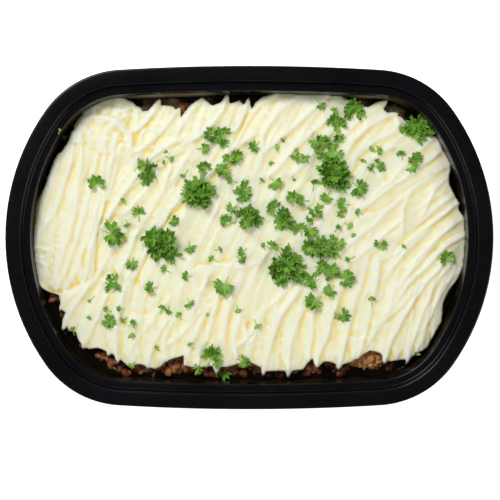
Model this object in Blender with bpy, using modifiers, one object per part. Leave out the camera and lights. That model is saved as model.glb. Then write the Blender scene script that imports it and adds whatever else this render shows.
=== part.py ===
"""Shepherd's pie in its own shallow plastic tray.

The pie is built as it lies in the tray: minced meat in dark gravy below,
mashed potato drawn over it in overlapping fans of fork ridges, and clumps of
chopped parsley on top. Metres, +Z up, origin on the table under the middle of
the tray, long side along X.
"""
import math
from collections import namedtuple

import bmesh
import bpy
import numpy as np
from mathutils import Vector
from mathutils.bvhtree import BVHTree

MM = 0.001
GAP = 0.3 * MM

# Tray: an outline of three kinds of arc, two long sides, two ends, four corners.
HALF_LENGTH = 110.0 * MM
HALF_WIDTH = 77.4 * MM
SIDE_RADIUS = 983.0 * MM
END_RADIUS = 99.5 * MM
CORNER_RADIUS = 43.5 * MM
TRAY_HEIGHT = 40.0 * MM
SHEET = 1.0 * MM
SHARP_BEND = math.radians(35)
LIP_DEPTH = 3.0 * MM
LIP_ROUND = 0.7 * MM
FLANGE_INNER = 6.6 * MM
STEP_RUN = 1.0 * MM
STEP_DEPTH = 3.0 * MM
WALL_TOP_INSET = 10.6 * MM
WALL_ROUND = 0.5 * MM
WALL_DRAFT = 0.1
FLOOR_TOP = SHEET
FILLET_HEIGHT = 3.5 * MM
FILLET_RUN = 3.2 * MM
FILLET_SHARE = 0.25
END_STEPS = 5
CORNER_STEPS = 6
SIDE_STEPS = 2

# Mince and gravy under the potato.
GRAVY_LEVEL = 22.0 * MM
MINCE_TOP = 23.2 * MM
POOL_MIN = 1.5 * MM
POOL_SWING = 1.6 * MM
MINCE_LUMPS = ((5, 0.4, 0.45), (11, 1.9, 0.35), (19, 0.8, 0.20))
CORE_CLEAR = 0.4 * MM
CORNER_RUN = 4.2 * MM
CORNER_RISE = 4.0 * MM

# Mashed potato.
MASH_BOTTOM = MINCE_TOP + GAP
BED_INSET = 20.0 * MM
BED_RINGS = ((0.0, 0.0), (0.0, 4.4 * MM), (3.0 * MM, 6.0 * MM), (14.0 * MM, 6.6 * MM))
FAN_BOTTOM = MASH_BOTTOM + 0.8 * MM
FAN_BOTTOM_STEP = 0.12 * MM
FAN_EDGE = 0.9 * MM
MASH_CLEAR = 12.7 * MM
FAN_CLEAR_STEP = 0.11 * MM
FAN_WELD = 0.05 * MM
MASH_TOP = 28.6 * MM
DOME = 1.2 * MM
RIDGE = 1.7 * MM
RIDGE_SPREAD = (0.7, 1.1)
TILE = 1.0 * MM
HEAD_SINK = 3.0 * MM
HEAD_RUN = 16.0 * MM
TAIL_FALL = 2.6 * MM
TAIL_RUN = 6.0 * MM
FAN_ROWS = (0.0, 0.12, 0.3, 0.5, 0.7, 0.87, 1.0)
SHORT_RIB = 0.55
SEED = 5

# One fan of ridges: they run from the heads line to the tails line, both read
# left to right and drawn through the ridges' tips; bow bends them. The grooves
# end short of the tips by tips and head_tips, every second ridge by less.
Fan = namedtuple("Fan", "name heads tails ribs bow group lift tips head_tips")
FANS = (
    Fan("bottom_left", ((-65, -9), (-36, -9)),
        ((-85, -42), (-75, -51), (-65, -54), (-50, -61)), 8, -0.12, 3, -0.5, 5.0, 0.0),
    Fan("bottom_middle", ((-36, -8), (-12, -6), (8, -6), (36, -9)),
        ((-44, -60), (-27, -60), (-15, -61), (6, -63), (17, -63), (25, -59)),
        13, -0.08, 4, -0.2, 6.0, 0.0),
    Fan("bottom_right", ((46, -5), (69, 1), (86, 2), (99, -6)),
        ((30, -59), (39, -60), (60, -57), (71, -57), (79, -51), (86, -44)),
        13, -0.09, 4, -0.1, 6.0, 0.0),
    Fan("right", ((84, 44), (90, 38), (92, 30), (94, 18), (98, 9), (99, -1)),
        ((41, 15), (45, 6), (51, -5), (61, -11), (70, -15), (79, -20)),
        13, -0.13, 4, 0.0, 2.0, 2.5),
    Fan("middle", ((-35, 35), (-15, 26), (6, 22), (36, 20), (61, 15)),
        ((-65, -15), (-45, -24), (-20, -28), (6, -29), (43, -26)),
        20, -0.03, 4, 0.2, 2.5, 0.0),
    Fan("left", ((-82, 43), (-69, 47), (-50, 39)),
        ((-97, -17), (-92, -25), (-84, -26), (-74, -20), (-63, -15)),
        9, -0.09, 4, 0.5, 2.0, 0.0),
    Fan("top_right", ((6, 62), (23, 66), (43, 65), (62, 61), (69, 56), (84, 44)),
        ((-17, 14), (-2, 9), (16, 10), (31, 16), (41, 13), (51, 12)),
        17, -0.07, 4, 0.6, 2.0, 1.0),
    Fan("top_left", ((-45, 60), (-40, 63), (-30, 59), (-21, 63), (-11, 65), (0, 63)),
        ((-66, 30), (-64, 15), (-58, 6), (-47, 7), (-35, 13), (-20, 24)),
        11, 0.11, 4, 0.8, 2.0, 4.5),
    Fan("corner", ((-69, 60), (-58, 64), (-47, 61)),
        ((-79, 43), (-71, 39), (-57, 36)), 5, 0.15, 3, 1.0, 2.0, 2.0),
)

# Parsley clumps: middle, half width and number of leaf tips round the edge.
CLUMP_HEIGHT = 2.0 * MM
CLUMP_EDGE = 0.7 * MM
CLUMP_PROBES = 48
CLUMP_LEAST = 0.62
CLUMP_SEED = 8
CLUMPS = (
    (-47, 30, 6.0, 9), (-23, 20, 7.5, 11), (-14, 46, 5.5, 9), (-40, -3, 8.5, 11),
    (39, 29, 8.5, 11), (48, 58, 5.5, 9), (77, 49, 7.5, 11), (17, -14, 8.5, 11),
    (0, 9, 7.0, 9), (16, 8, 6.0, 9), (32, -5, 6.5, 9), (-3, 21, 5.0, 9),
)

# Colour, roughness and metallic of each sub-part.
FINISHES = {
    "tray": ((0.006, 0.006, 0.008), 0.32, 0.0),
    "mince": ((0.10, 0.035, 0.014), 0.55, 0.0),
    "gravy": ((0.012, 0.006, 0.003), 0.12, 0.0),
    "mash": ((0.87, 0.82, 0.56), 0.5, 0.0),
    "parsley": ((0.07, 0.22, 0.02), 0.5, 0.0),
}


def clear_scene():
    for thing in list(bpy.data.objects):
        bpy.data.objects.remove(thing, do_unlink=True)


def material(name):
    colour, roughness, metallic = FINISHES[name]
    made = bpy.data.materials.new(name)
    made.use_nodes = True
    shader = made.node_tree.nodes["Principled BSDF"]
    shader.inputs["Base Color"].default_value = (*colour, 1.0)
    shader.inputs["Roughness"].default_value = roughness
    shader.inputs["Metallic"].default_value = metallic
    return made


def add_object(name, mesh, collection, finish):
    thing = bpy.data.objects.new(name, mesh)
    mesh.materials.append(finish)
    collection.objects.link(thing)
    return thing


def mesh_from(bm, name):
    """Hand over a bmesh as a named mesh with its faces turned out."""
    bmesh.ops.recalc_face_normals(bm, faces=bm.faces)
    mesh = bpy.data.meshes.new(name)
    bm.to_mesh(mesh)
    bm.free()
    return mesh


# ---- the tray's outline -------------------------------------------------

def corner_centre():
    """Where the corner arc's centre lies, touching the side and end arcs inside."""
    side_y = HALF_WIDTH - SIDE_RADIUS
    end_x = HALF_LENGTH - END_RADIUS
    to_side = SIDE_RADIUS - CORNER_RADIUS
    to_end = END_RADIUS - CORNER_RADIUS
    span = math.hypot(end_x, side_y)
    along = (to_side ** 2 - to_end ** 2 + span ** 2) / (2 * span)
    off = math.sqrt(to_side ** 2 - along ** 2)
    ux, uy = end_x / span, -side_y / span
    return (along * ux + off * uy, side_y + along * uy - off * ux)


CORNER_X, CORNER_Y = corner_centre()
SIDE_Y = HALF_WIDTH - SIDE_RADIUS
END_X = HALF_LENGTH - END_RADIUS
END_ANGLE = math.atan2(CORNER_Y, CORNER_X - END_X)
SIDE_ANGLE = math.atan2(CORNER_Y - SIDE_Y, CORNER_X)


def quarter_arcs(inset):
    """The quarter outline as (centre x, centre y, radius, start, end, steps)."""
    return (
        (END_X, 0.0, END_RADIUS - inset, 0.0, END_ANGLE, END_STEPS),
        (CORNER_X, CORNER_Y, CORNER_RADIUS - inset, END_ANGLE, SIDE_ANGLE, CORNER_STEPS),
        (0.0, SIDE_Y, SIDE_RADIUS - inset, SIDE_ANGLE, math.pi / 2, SIDE_STEPS),
    )


def quarter_points(inset):
    points = []
    for x, y, radius, start, end, steps in quarter_arcs(inset):
        for step in range(steps):
            angle = start + (end - start) * step / steps
            points.append((x + radius * math.cos(angle), y + radius * math.sin(angle)))
    points.append((0.0, HALF_WIDTH - inset))
    return points


def outline(inset):
    """The whole outline set in by inset, anticlockwise from the +X end."""
    first = quarter_points(inset)
    second = [(-x, y) for x, y in reversed(first[:-1])]
    upper = first + second
    lower = [(x, -y) for x, y in reversed(upper[1:-1])]
    return upper + lower


def hold_in(x, y, inset):
    """Move a point that lies outside the inset outline onto it."""
    quarter_x, quarter_y = abs(x), abs(y)
    centre_x, centre_y, radius = CORNER_X, CORNER_Y, CORNER_RADIUS
    if math.atan2(quarter_y, quarter_x - END_X) < END_ANGLE:
        centre_x, centre_y, radius = END_X, 0.0, END_RADIUS
    elif math.atan2(quarter_y - SIDE_Y, quarter_x) > SIDE_ANGLE:
        centre_x, centre_y, radius = 0.0, SIDE_Y, SIDE_RADIUS
    reach = math.hypot(quarter_x - centre_x, quarter_y - centre_y)
    if reach <= radius - inset:
        return x, y
    share = (radius - inset) / reach
    held_x = centre_x + (quarter_x - centre_x) * share
    held_y = centre_y + (quarter_y - centre_y) * share
    return math.copysign(held_x, x), math.copysign(held_y, y)


def wall_inset(height):
    """How far the tray's inner wall stands in from the outline at a height."""
    top = TRAY_HEIGHT - STEP_DEPTH - WALL_ROUND
    return WALL_TOP_INSET + WALL_ROUND + (top - height) * WALL_DRAFT


def add_ring(bm, points, height):
    return [bm.verts.new((x, y, height)) for x, y in points]


def bridge(bm, lower, upper):
    count = len(lower)
    for index in range(count):
        after = (index + 1) % count
        bm.faces.new((lower[index], lower[after], upper[after], upper[index]))


# ---- the pieces ---------------------------------------------------------

def tray_profile():
    """The tray's upper surface from lip to floor as (inset, height)."""
    ledge = TRAY_HEIGHT - STEP_DEPTH
    fillet_top = FLOOR_TOP + FILLET_HEIGHT
    foot = wall_inset(fillet_top)
    return (
        (0.0, TRAY_HEIGHT - LIP_DEPTH),
        (0.0, TRAY_HEIGHT - LIP_ROUND),
        (LIP_ROUND, TRAY_HEIGHT),
        (FLANGE_INNER, TRAY_HEIGHT),
        (FLANGE_INNER + STEP_RUN, ledge),
        (WALL_TOP_INSET, ledge),
        (WALL_TOP_INSET + WALL_ROUND, ledge - WALL_ROUND),
        (foot, fillet_top),
        (foot + FILLET_RUN * FILLET_SHARE, FLOOR_TOP + FILLET_HEIGHT * FILLET_SHARE),
        (foot + FILLET_RUN, FLOOR_TOP),
    )


def make_tray(collection):
    bm = bmesh.new()
    rings = [add_ring(bm, outline(inset), height) for inset, height in tray_profile()]
    for outer, inner in zip(rings, rings[1:]):
        bridge(bm, outer, inner)
    bm.faces.new(rings[-1])
    bmesh.ops.recalc_face_normals(bm, faces=bm.faces)
    floor = max(bm.faces, key=lambda face: len(face.verts))
    if floor.normal.z < 0:
        bmesh.ops.reverse_faces(bm, faces=bm.faces)
    mesh = bpy.data.meshes.new("tray")
    bm.to_mesh(mesh)
    bm.free()
    tray = add_object("tray", mesh, collection, material("tray"))
    shell = tray.modifiers.new("sheet", "SOLIDIFY")
    shell.thickness = SHEET
    shell.offset = -1.0
    shell.use_even_offset = True
    mesh.shade_smooth()
    mesh.set_sharp_from_angle(angle=SHARP_BEND)
    return tray


def lump_share(index, count):
    """The mince edge's unevenness at one outline point, from 0 to 1."""
    turn = 2 * math.pi * index / count
    wave = sum(size * math.sin(lobes * turn + phase) for lobes, phase, size in MINCE_LUMPS)
    return 0.5 + 0.5 * wave


def uneven_outline(inset, extra=0.0):
    """The outline set in by inset, and further by the mince's own unevenness."""
    near = outline(inset)
    far = outline(inset + POOL_MIN + POOL_SWING + extra)
    count = len(near)
    points = []
    for index, (a, b) in enumerate(zip(near, far)):
        depth = POOL_MIN + POOL_SWING * lump_share(index, count) + extra
        share = depth / (POOL_MIN + POOL_SWING + extra)
        points.append((a[0] + (b[0] - a[0]) * share, a[1] + (b[1] - a[1]) * share))
    return points


def pool_profile():
    """The outer edge of what fills the tray as (inset, height), floor to level."""
    floor = FLOOR_TOP + CORE_CLEAR
    foot = floor + CORNER_RISE
    return (
        (wall_inset(foot) + CORNER_RUN, floor),
        (wall_inset(foot) + CORE_CLEAR, foot),
        (wall_inset(GRAVY_LEVEL) + CORE_CLEAR, GRAVY_LEVEL),
    )


def make_mince(collection):
    bm = bmesh.new()
    rings = [add_ring(bm, uneven_outline(inset), height) for inset, height in pool_profile()]
    shoulder = pool_profile()[-1][0]
    rings.append(add_ring(bm, uneven_outline(shoulder, MINCE_TOP - GRAVY_LEVEL), MINCE_TOP))
    for lower, upper in zip(rings, rings[1:]):
        bridge(bm, lower, upper)
    bm.faces.new(rings[0])
    bm.faces.new(rings[-1])
    return add_object("mince_filling", mesh_from(bm, "mince_filling"), collection,
                      material("mince"))


def make_gravy(collection):
    bm = bmesh.new()
    profile = pool_profile()
    outer = [add_ring(bm, outline(inset), height) for inset, height in profile]
    inner = [add_ring(bm, uneven_outline(inset - GAP), height) for inset, height in profile]
    loop = outer + list(reversed(inner))
    for here, after in zip(loop, loop[1:] + loop[:1]):
        bridge(bm, here, after)
    return add_object("gravy", mesh_from(bm, "gravy"), collection, material("gravy"))


# ---- mashed potato ------------------------------------------------------

def dome(x, y):
    return MASH_TOP + DOME * (1 - (x / HALF_LENGTH) ** 2 - (y / HALF_WIDTH) ** 2)


def along(points, share):
    """The point at a share of the length of a line through points, in metres.

    A share below 0 or above 1 runs straight on past the line's end.
    """
    line = np.array(points, dtype=float) * MM
    lengths = np.linalg.norm(np.diff(line, axis=0), axis=1)
    marks = np.concatenate(((0.0,), np.cumsum(lengths))) / lengths.sum()
    part = int(np.clip(np.searchsorted(marks, share) - 1, 0, len(lengths) - 1))
    local = (share - marks[part]) / (marks[part + 1] - marks[part])
    return line[part] + (line[part + 1] - line[part]) * local


def ridge_line(fan, share, head_reach, tail_reach):
    """One line of a fan from head to tail, run out past its guides by a reach."""
    head = along(fan.heads, share)
    tail = along(fan.tails, share)
    step = tail - head
    length = float(np.hypot(*step))
    way = step / length
    head = head - way * head_reach
    tail = tail + way * tail_reach
    side = np.array((-way[1], way[0]))
    middle = (head + tail) / 2 + side * length * fan.bow
    line = []
    for part in FAN_ROWS:
        line.append((1 - part) ** 2 * head + 2 * part * (1 - part) * middle + part ** 2 * tail)
    return line, length


def fan_columns(fan, seeds):
    """The fan's lines across: groove, crest, groove and so on, each with heights."""
    columns = []
    for index in range(2 * fan.ribs + 1):
        rib = index // 2
        on_crest = index % 2 == 1
        share = (index - 1) / (2 * (fan.ribs - 1))
        short = 1.0
        if on_crest:
            short = 0.0 if rib % 2 == 0 else SHORT_RIB
        tail = -fan.tips * MM * short
        head = -fan.head_tips * MM * short
        level = TILE * ((rib % fan.group) / (fan.group - 1) - 0.5)
        if on_crest:
            level += RIDGE * seeds.uniform(*RIDGE_SPREAD)
        line, length = ridge_line(fan, share, head, tail)
        columns.append((line, level, length))
    return columns


def fan_height(fan, level, point, done, left):
    """Height of a fan's top, sunk at its head and falling away at its tail."""
    sink = HEAD_SINK * max(0.0, 1.0 - done / HEAD_RUN) ** 2
    fall = TAIL_FALL * max(0.0, 1.0 - left / TAIL_RUN) ** 2
    return dome(*point) + fan.lift * MM + level - sink - fall


def fan_mesh(fan, order, seeds):
    """A fan as a closed slab; each has its own floor and its own hold from the wall."""
    bottom = FAN_BOTTOM + order * FAN_BOTTOM_STEP
    clear = MASH_CLEAR + order * FAN_CLEAR_STEP
    bm = bmesh.new()
    top = []
    for line, level, length in fan_columns(fan, seeds):
        column = []
        for part, point in zip(FAN_ROWS, line):
            x, y = hold_in(point[0], point[1], clear)
            height = fan_height(fan, level, (x, y), part * length, (1 - part) * length)
            column.append(bm.verts.new((x, y, max(height, bottom + FAN_EDGE))))
        top.append(column)
    for left, right in zip(top, top[1:]):
        for row in range(len(FAN_ROWS) - 1):
            bm.faces.new((left[row], left[row + 1], right[row + 1], right[row]))
    bmesh.ops.remove_doubles(bm, verts=bm.verts, dist=FAN_WELD)
    rim = [edge for edge in bm.edges if edge.is_boundary]
    walls = bmesh.ops.extrude_edge_only(bm, edges=rim)["geom"]
    low = [item for item in walls if isinstance(item, bmesh.types.BMVert)]
    for vert in low:
        vert.co.z = bottom
    under = [item for item in walls if isinstance(item, bmesh.types.BMEdge)]
    floor_edges = [edge for edge in under if all(vert in low for vert in edge.verts)]
    bmesh.ops.edgeloop_fill(bm, edges=floor_edges)
    return mesh_from(bm, fan.name)


def bed_mesh():
    bm = bmesh.new()
    rings = []
    for inset, rise in BED_RINGS:
        rings.append(add_ring(bm, outline(BED_INSET + inset), MASH_BOTTOM + rise))
    for lower, upper in zip(rings, rings[1:]):
        bridge(bm, lower, upper)
    bm.faces.new(rings[0])
    bm.faces.new(rings[-1])
    return mesh_from(bm, "mash_topping")


def make_mash(collection, guides):
    mash = add_object("mash_topping", bed_mesh(), collection, material("mash"))
    seeds = np.random.default_rng(SEED)
    for order, fan in enumerate(FANS):
        mesh = fan_mesh(fan, order, seeds)
        strokes = bpy.data.objects.new("fan_" + fan.name, mesh)
        strokes.hide_render = True
        strokes.display_type = "WIRE"
        guides.objects.link(strokes)
        join = mash.modifiers.new("join_" + fan.name, "BOOLEAN")
        join.operation = "UNION"
        join.solver = "EXACT"
        join.object = strokes
    return mash


# ---- parsley ------------------------------------------------------------

def mash_surface(mash):
    """The joined potato as a search tree, with the corners of its mesh."""
    depsgraph = bpy.context.evaluated_depsgraph_get()
    evaluated = mash.evaluated_get(depsgraph)
    mesh = evaluated.to_mesh()
    corners = [vert.co.copy() for vert in mesh.vertices]
    evaluated.to_mesh_clear()
    return BVHTree.FromObject(mash, depsgraph), corners


def rest_height(surface, middle, reach):
    """The highest potato under a round spot, where a clump comes to rest."""
    tree, corners = surface
    top = MASH_BOTTOM
    for corner in corners:
        if (corner.xy - middle).length <= reach:
            top = max(top, corner.z)
    for probe in range(CLUMP_PROBES):
        angle = 2 * math.pi * probe / CLUMP_PROBES
        edge = middle + Vector((math.cos(angle), math.sin(angle))) * reach
        hit = tree.ray_cast(Vector((edge.x, edge.y, TRAY_HEIGHT)), Vector((0, 0, -1)))[0]
        if hit:
            top = max(top, hit.z)
    return top + GAP


def make_clump(name, clump, surface, seeds, collection, finish):
    middle_x, middle_y, reach, tips = clump
    middle = Vector((middle_x, middle_y)) * MM
    reach = reach * MM
    rest = rest_height(surface, middle, reach)
    bm = bmesh.new()
    rim = []
    for index in range(tips):
        radius = reach * seeds.uniform(CLUMP_LEAST, 1.0)
        angle = 2 * math.pi * index / tips
        tip_x = middle.x + radius * math.cos(angle)
        tip_y = middle.y + radius * math.sin(angle)
        rim.append(hold_in(tip_x, tip_y, MASH_CLEAR))
    lower = add_ring(bm, rim, rest)
    upper = add_ring(bm, rim, rest + CLUMP_EDGE)
    bridge(bm, lower, upper)
    bm.faces.new(lower)
    peak = bm.verts.new((middle.x, middle.y, rest + CLUMP_HEIGHT))
    for index, vert in enumerate(upper):
        bm.faces.new((vert, upper[(index + 1) % len(upper)], peak))
    return add_object(name, mesh_from(bm, name), collection, finish)


def make_parsley(collection, mash):
    finish = material("parsley")
    surface = mash_surface(mash)
    seeds = np.random.default_rng(CLUMP_SEED)
    for index, clump in enumerate(CLUMPS):
        name = "parsley_clump_%02d" % (index + 1)
        make_clump(name, clump, surface, seeds, collection, finish)


def main():
    clear_scene()
    parts = bpy.data.collections.new("shepherds_pie")
    guides = bpy.data.collections.new("shepherds_pie_guides")
    for collection in (parts, guides):
        bpy.context.scene.collection.children.link(collection)
    make_tray(parts)
    make_mince(parts)
    make_gravy(parts)
    mash = make_mash(parts, guides)
    make_parsley(parts, mash)


main()
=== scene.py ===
"""Shepherd's pie in its tray: the looks of each piece, built in mesh code.

Lengths inside the mesh functions are millimetres. They are turned into metres
as each mesh is handed over. +Z is up, the tray's long side lies along X.
"""
import math

import bmesh
import bpy
import numpy as np
from mathutils import Matrix, Vector


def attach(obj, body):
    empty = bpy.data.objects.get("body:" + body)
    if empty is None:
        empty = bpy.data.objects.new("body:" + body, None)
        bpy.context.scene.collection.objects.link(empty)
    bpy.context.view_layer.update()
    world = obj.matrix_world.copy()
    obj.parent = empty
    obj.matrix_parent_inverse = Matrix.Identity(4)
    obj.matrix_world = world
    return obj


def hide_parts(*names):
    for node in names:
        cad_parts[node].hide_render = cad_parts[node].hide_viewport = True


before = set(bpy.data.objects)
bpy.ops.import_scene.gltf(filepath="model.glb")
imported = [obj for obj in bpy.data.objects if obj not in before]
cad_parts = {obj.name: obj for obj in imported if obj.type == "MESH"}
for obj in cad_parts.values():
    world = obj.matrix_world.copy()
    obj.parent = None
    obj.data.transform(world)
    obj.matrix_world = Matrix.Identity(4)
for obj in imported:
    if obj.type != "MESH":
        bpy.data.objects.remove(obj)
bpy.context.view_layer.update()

bl_info = {
    "name": "Shepherd's Pie",
    "version": (1, 0, 0),
    "blender": (4, 5, 0),
    "location": "View3D > Sidebar > Pie",
    "description": "Builds a shepherd's pie in its tray, piece by piece",
    "category": "Object",
}

MM = 0.001

# ---- the tray's outline, in millimetres ----------------------------------

HALF_LENGTH = 110.0
HALF_WIDTH = 77.4
SIDE_RADIUS = 983.0
END_RADIUS = 99.5
CORNER_RADIUS = 43.5
CORNER_X = 56.31
CORNER_Y = 32.21
END_ARC = math.radians(35.11)
SIDE_ARC = math.radians(86.56)
END_X = HALF_LENGTH - END_RADIUS
SIDE_Y = HALF_WIDTH - SIDE_RADIUS
ARC_STEPS = (12, 16, 8)

# Bends of the tray's upper surface from lip to floor: inset, height, radius.
TRAY_BENDS = (
    (0.0, 37.0, 0.0), (0.0, 40.0, 0.9), (6.7, 40.0, 0.9), (7.7, 37.0, 0.7),
    (11.05, 37.0, 0.7), (14.65, 1.0, 4.0), (40.0, 1.0, 0.0),
)
BEND_STEPS = 5
WALL_ROWS = 12
LONG_DROP = 10
WALL_FOOT = 14.65
WALL_DRAFT = 0.1
FLOOR_TOP = 1.0
NOISE_SIDE = 64

# Marks on the inner wall: heights between which dried gravy comes and goes.
WALL_INSET = 10
STAIN_FOOT, STAIN_IN = 17, 4
STAIN_HEAD, STAIN_OUT = 36.5, 6
SMEAR_HEIGHTS = (18, 33)
SMEAR_SHARE = 0.8

# The gravy's surface: how it climbs the wall, and the runs in from there.
POOL_FLOOR = 6.0
POOL_OVERLAP = (0.1, 0.05)
MENISCUS = ((0.0, 0.45), (0.12, 0.22), (0.35, 0.06))
POOL_RUNS = (0.9, 1.8, 2.8, 3.8, 5.0, 6.5, 8.5, 11.0)
POOL_WAVE = (0.18, 5.0, 31)

# ---- fans of fork ridges --------------------------------------------------
# name, heads line, tails line, ribs, bow, group, lift, head taper, tail taper,
# short (how much earlier every second rib ends), jitter.
FANS = (
    ("bottom_left", ((-65, -9), (-44, -12)), ((-85, -42), (-75, -51), (-65, -54), (-53, -60)),
     8, -0.12, 3, -0.5, 3.0, 5.0, 3.0, 1.4),
    ("bottom_middle", ((-36, -8), (-12, -6), (8, -6), (36, -9)),
     ((-44, -60), (-27, -60.5), (-15, -61.5), (-4, -58.5), (6, -63), (17, -63.5), (25, -59)),
     14, -0.08, 4, -0.2, 3.0, 6.0, 4.0, 1.4),
    ("bottom_right", ((46, -5), (69, 1), (86, 2), (100, -6)),
     ((30, -59), (39, -60), (49, -56), (60, -57), (71, -57.5), (79, -51.5), (86, -44)),
     13, -0.09, 4, -0.1, 3.0, 6.0, 3.5, 1.4),
    ("right", ((84, 44), (90, 38), (92, 30), (94, 18), (98, 9), (99, -1)),
     ((41, 15), (45, 6), (51, -5), (61, -11), (70, -15), (79, -20)),
     13, -0.13, 4, 0.0, 2.5, 3.0, 1.0, 1.2),
    ("middle", ((-35, 35), (-15, 26), (6, 22), (36, 20), (61, 15)),
     ((-65, -15), (-45, -24), (-20, -28), (6, -29), (43, -26)),
     20, -0.03, 4, 0.2, 3.0, 3.0, 1.5, 2.0),
    ("left", ((-82, 43), (-69, 47), (-50, 39)),
     ((-97, -17), (-92, -25), (-84, -26), (-74, -20), (-63, -15)),
     10, -0.09, 4, 0.5, 3.0, 3.0, 1.2, 0.8),
    ("top_right", ((6, 62), (23, 66), (43, 65), (62, 61), (69, 56), (84, 44)),
     ((-17, 14), (-2, 9), (16, 10), (31, 16), (41, 13), (51, 12)),
     17, -0.07, 4, 0.6, 1.5, 2.5, 1.2, 1.2),
    ("top_left", ((-45, 60), (-40, 63), (-30, 59), (-21, 63), (-11, 65), (0, 63)),
     ((-66, 30), (-64, 15), (-58, 6), (-47, 7), (-35, 13), (-20, 24)),
     11, 0.11, 4, 0.8, 6.0, 2.5, 1.2, 1.2),
    ("corner", ((-69, 60), (-58, 64), (-47, 61)), ((-79, 43), (-71, 39), (-57, 36)),
     5, 0.15, 3, 1.0, 3.0, 2.5, 1.0, 1.5),
)
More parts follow.
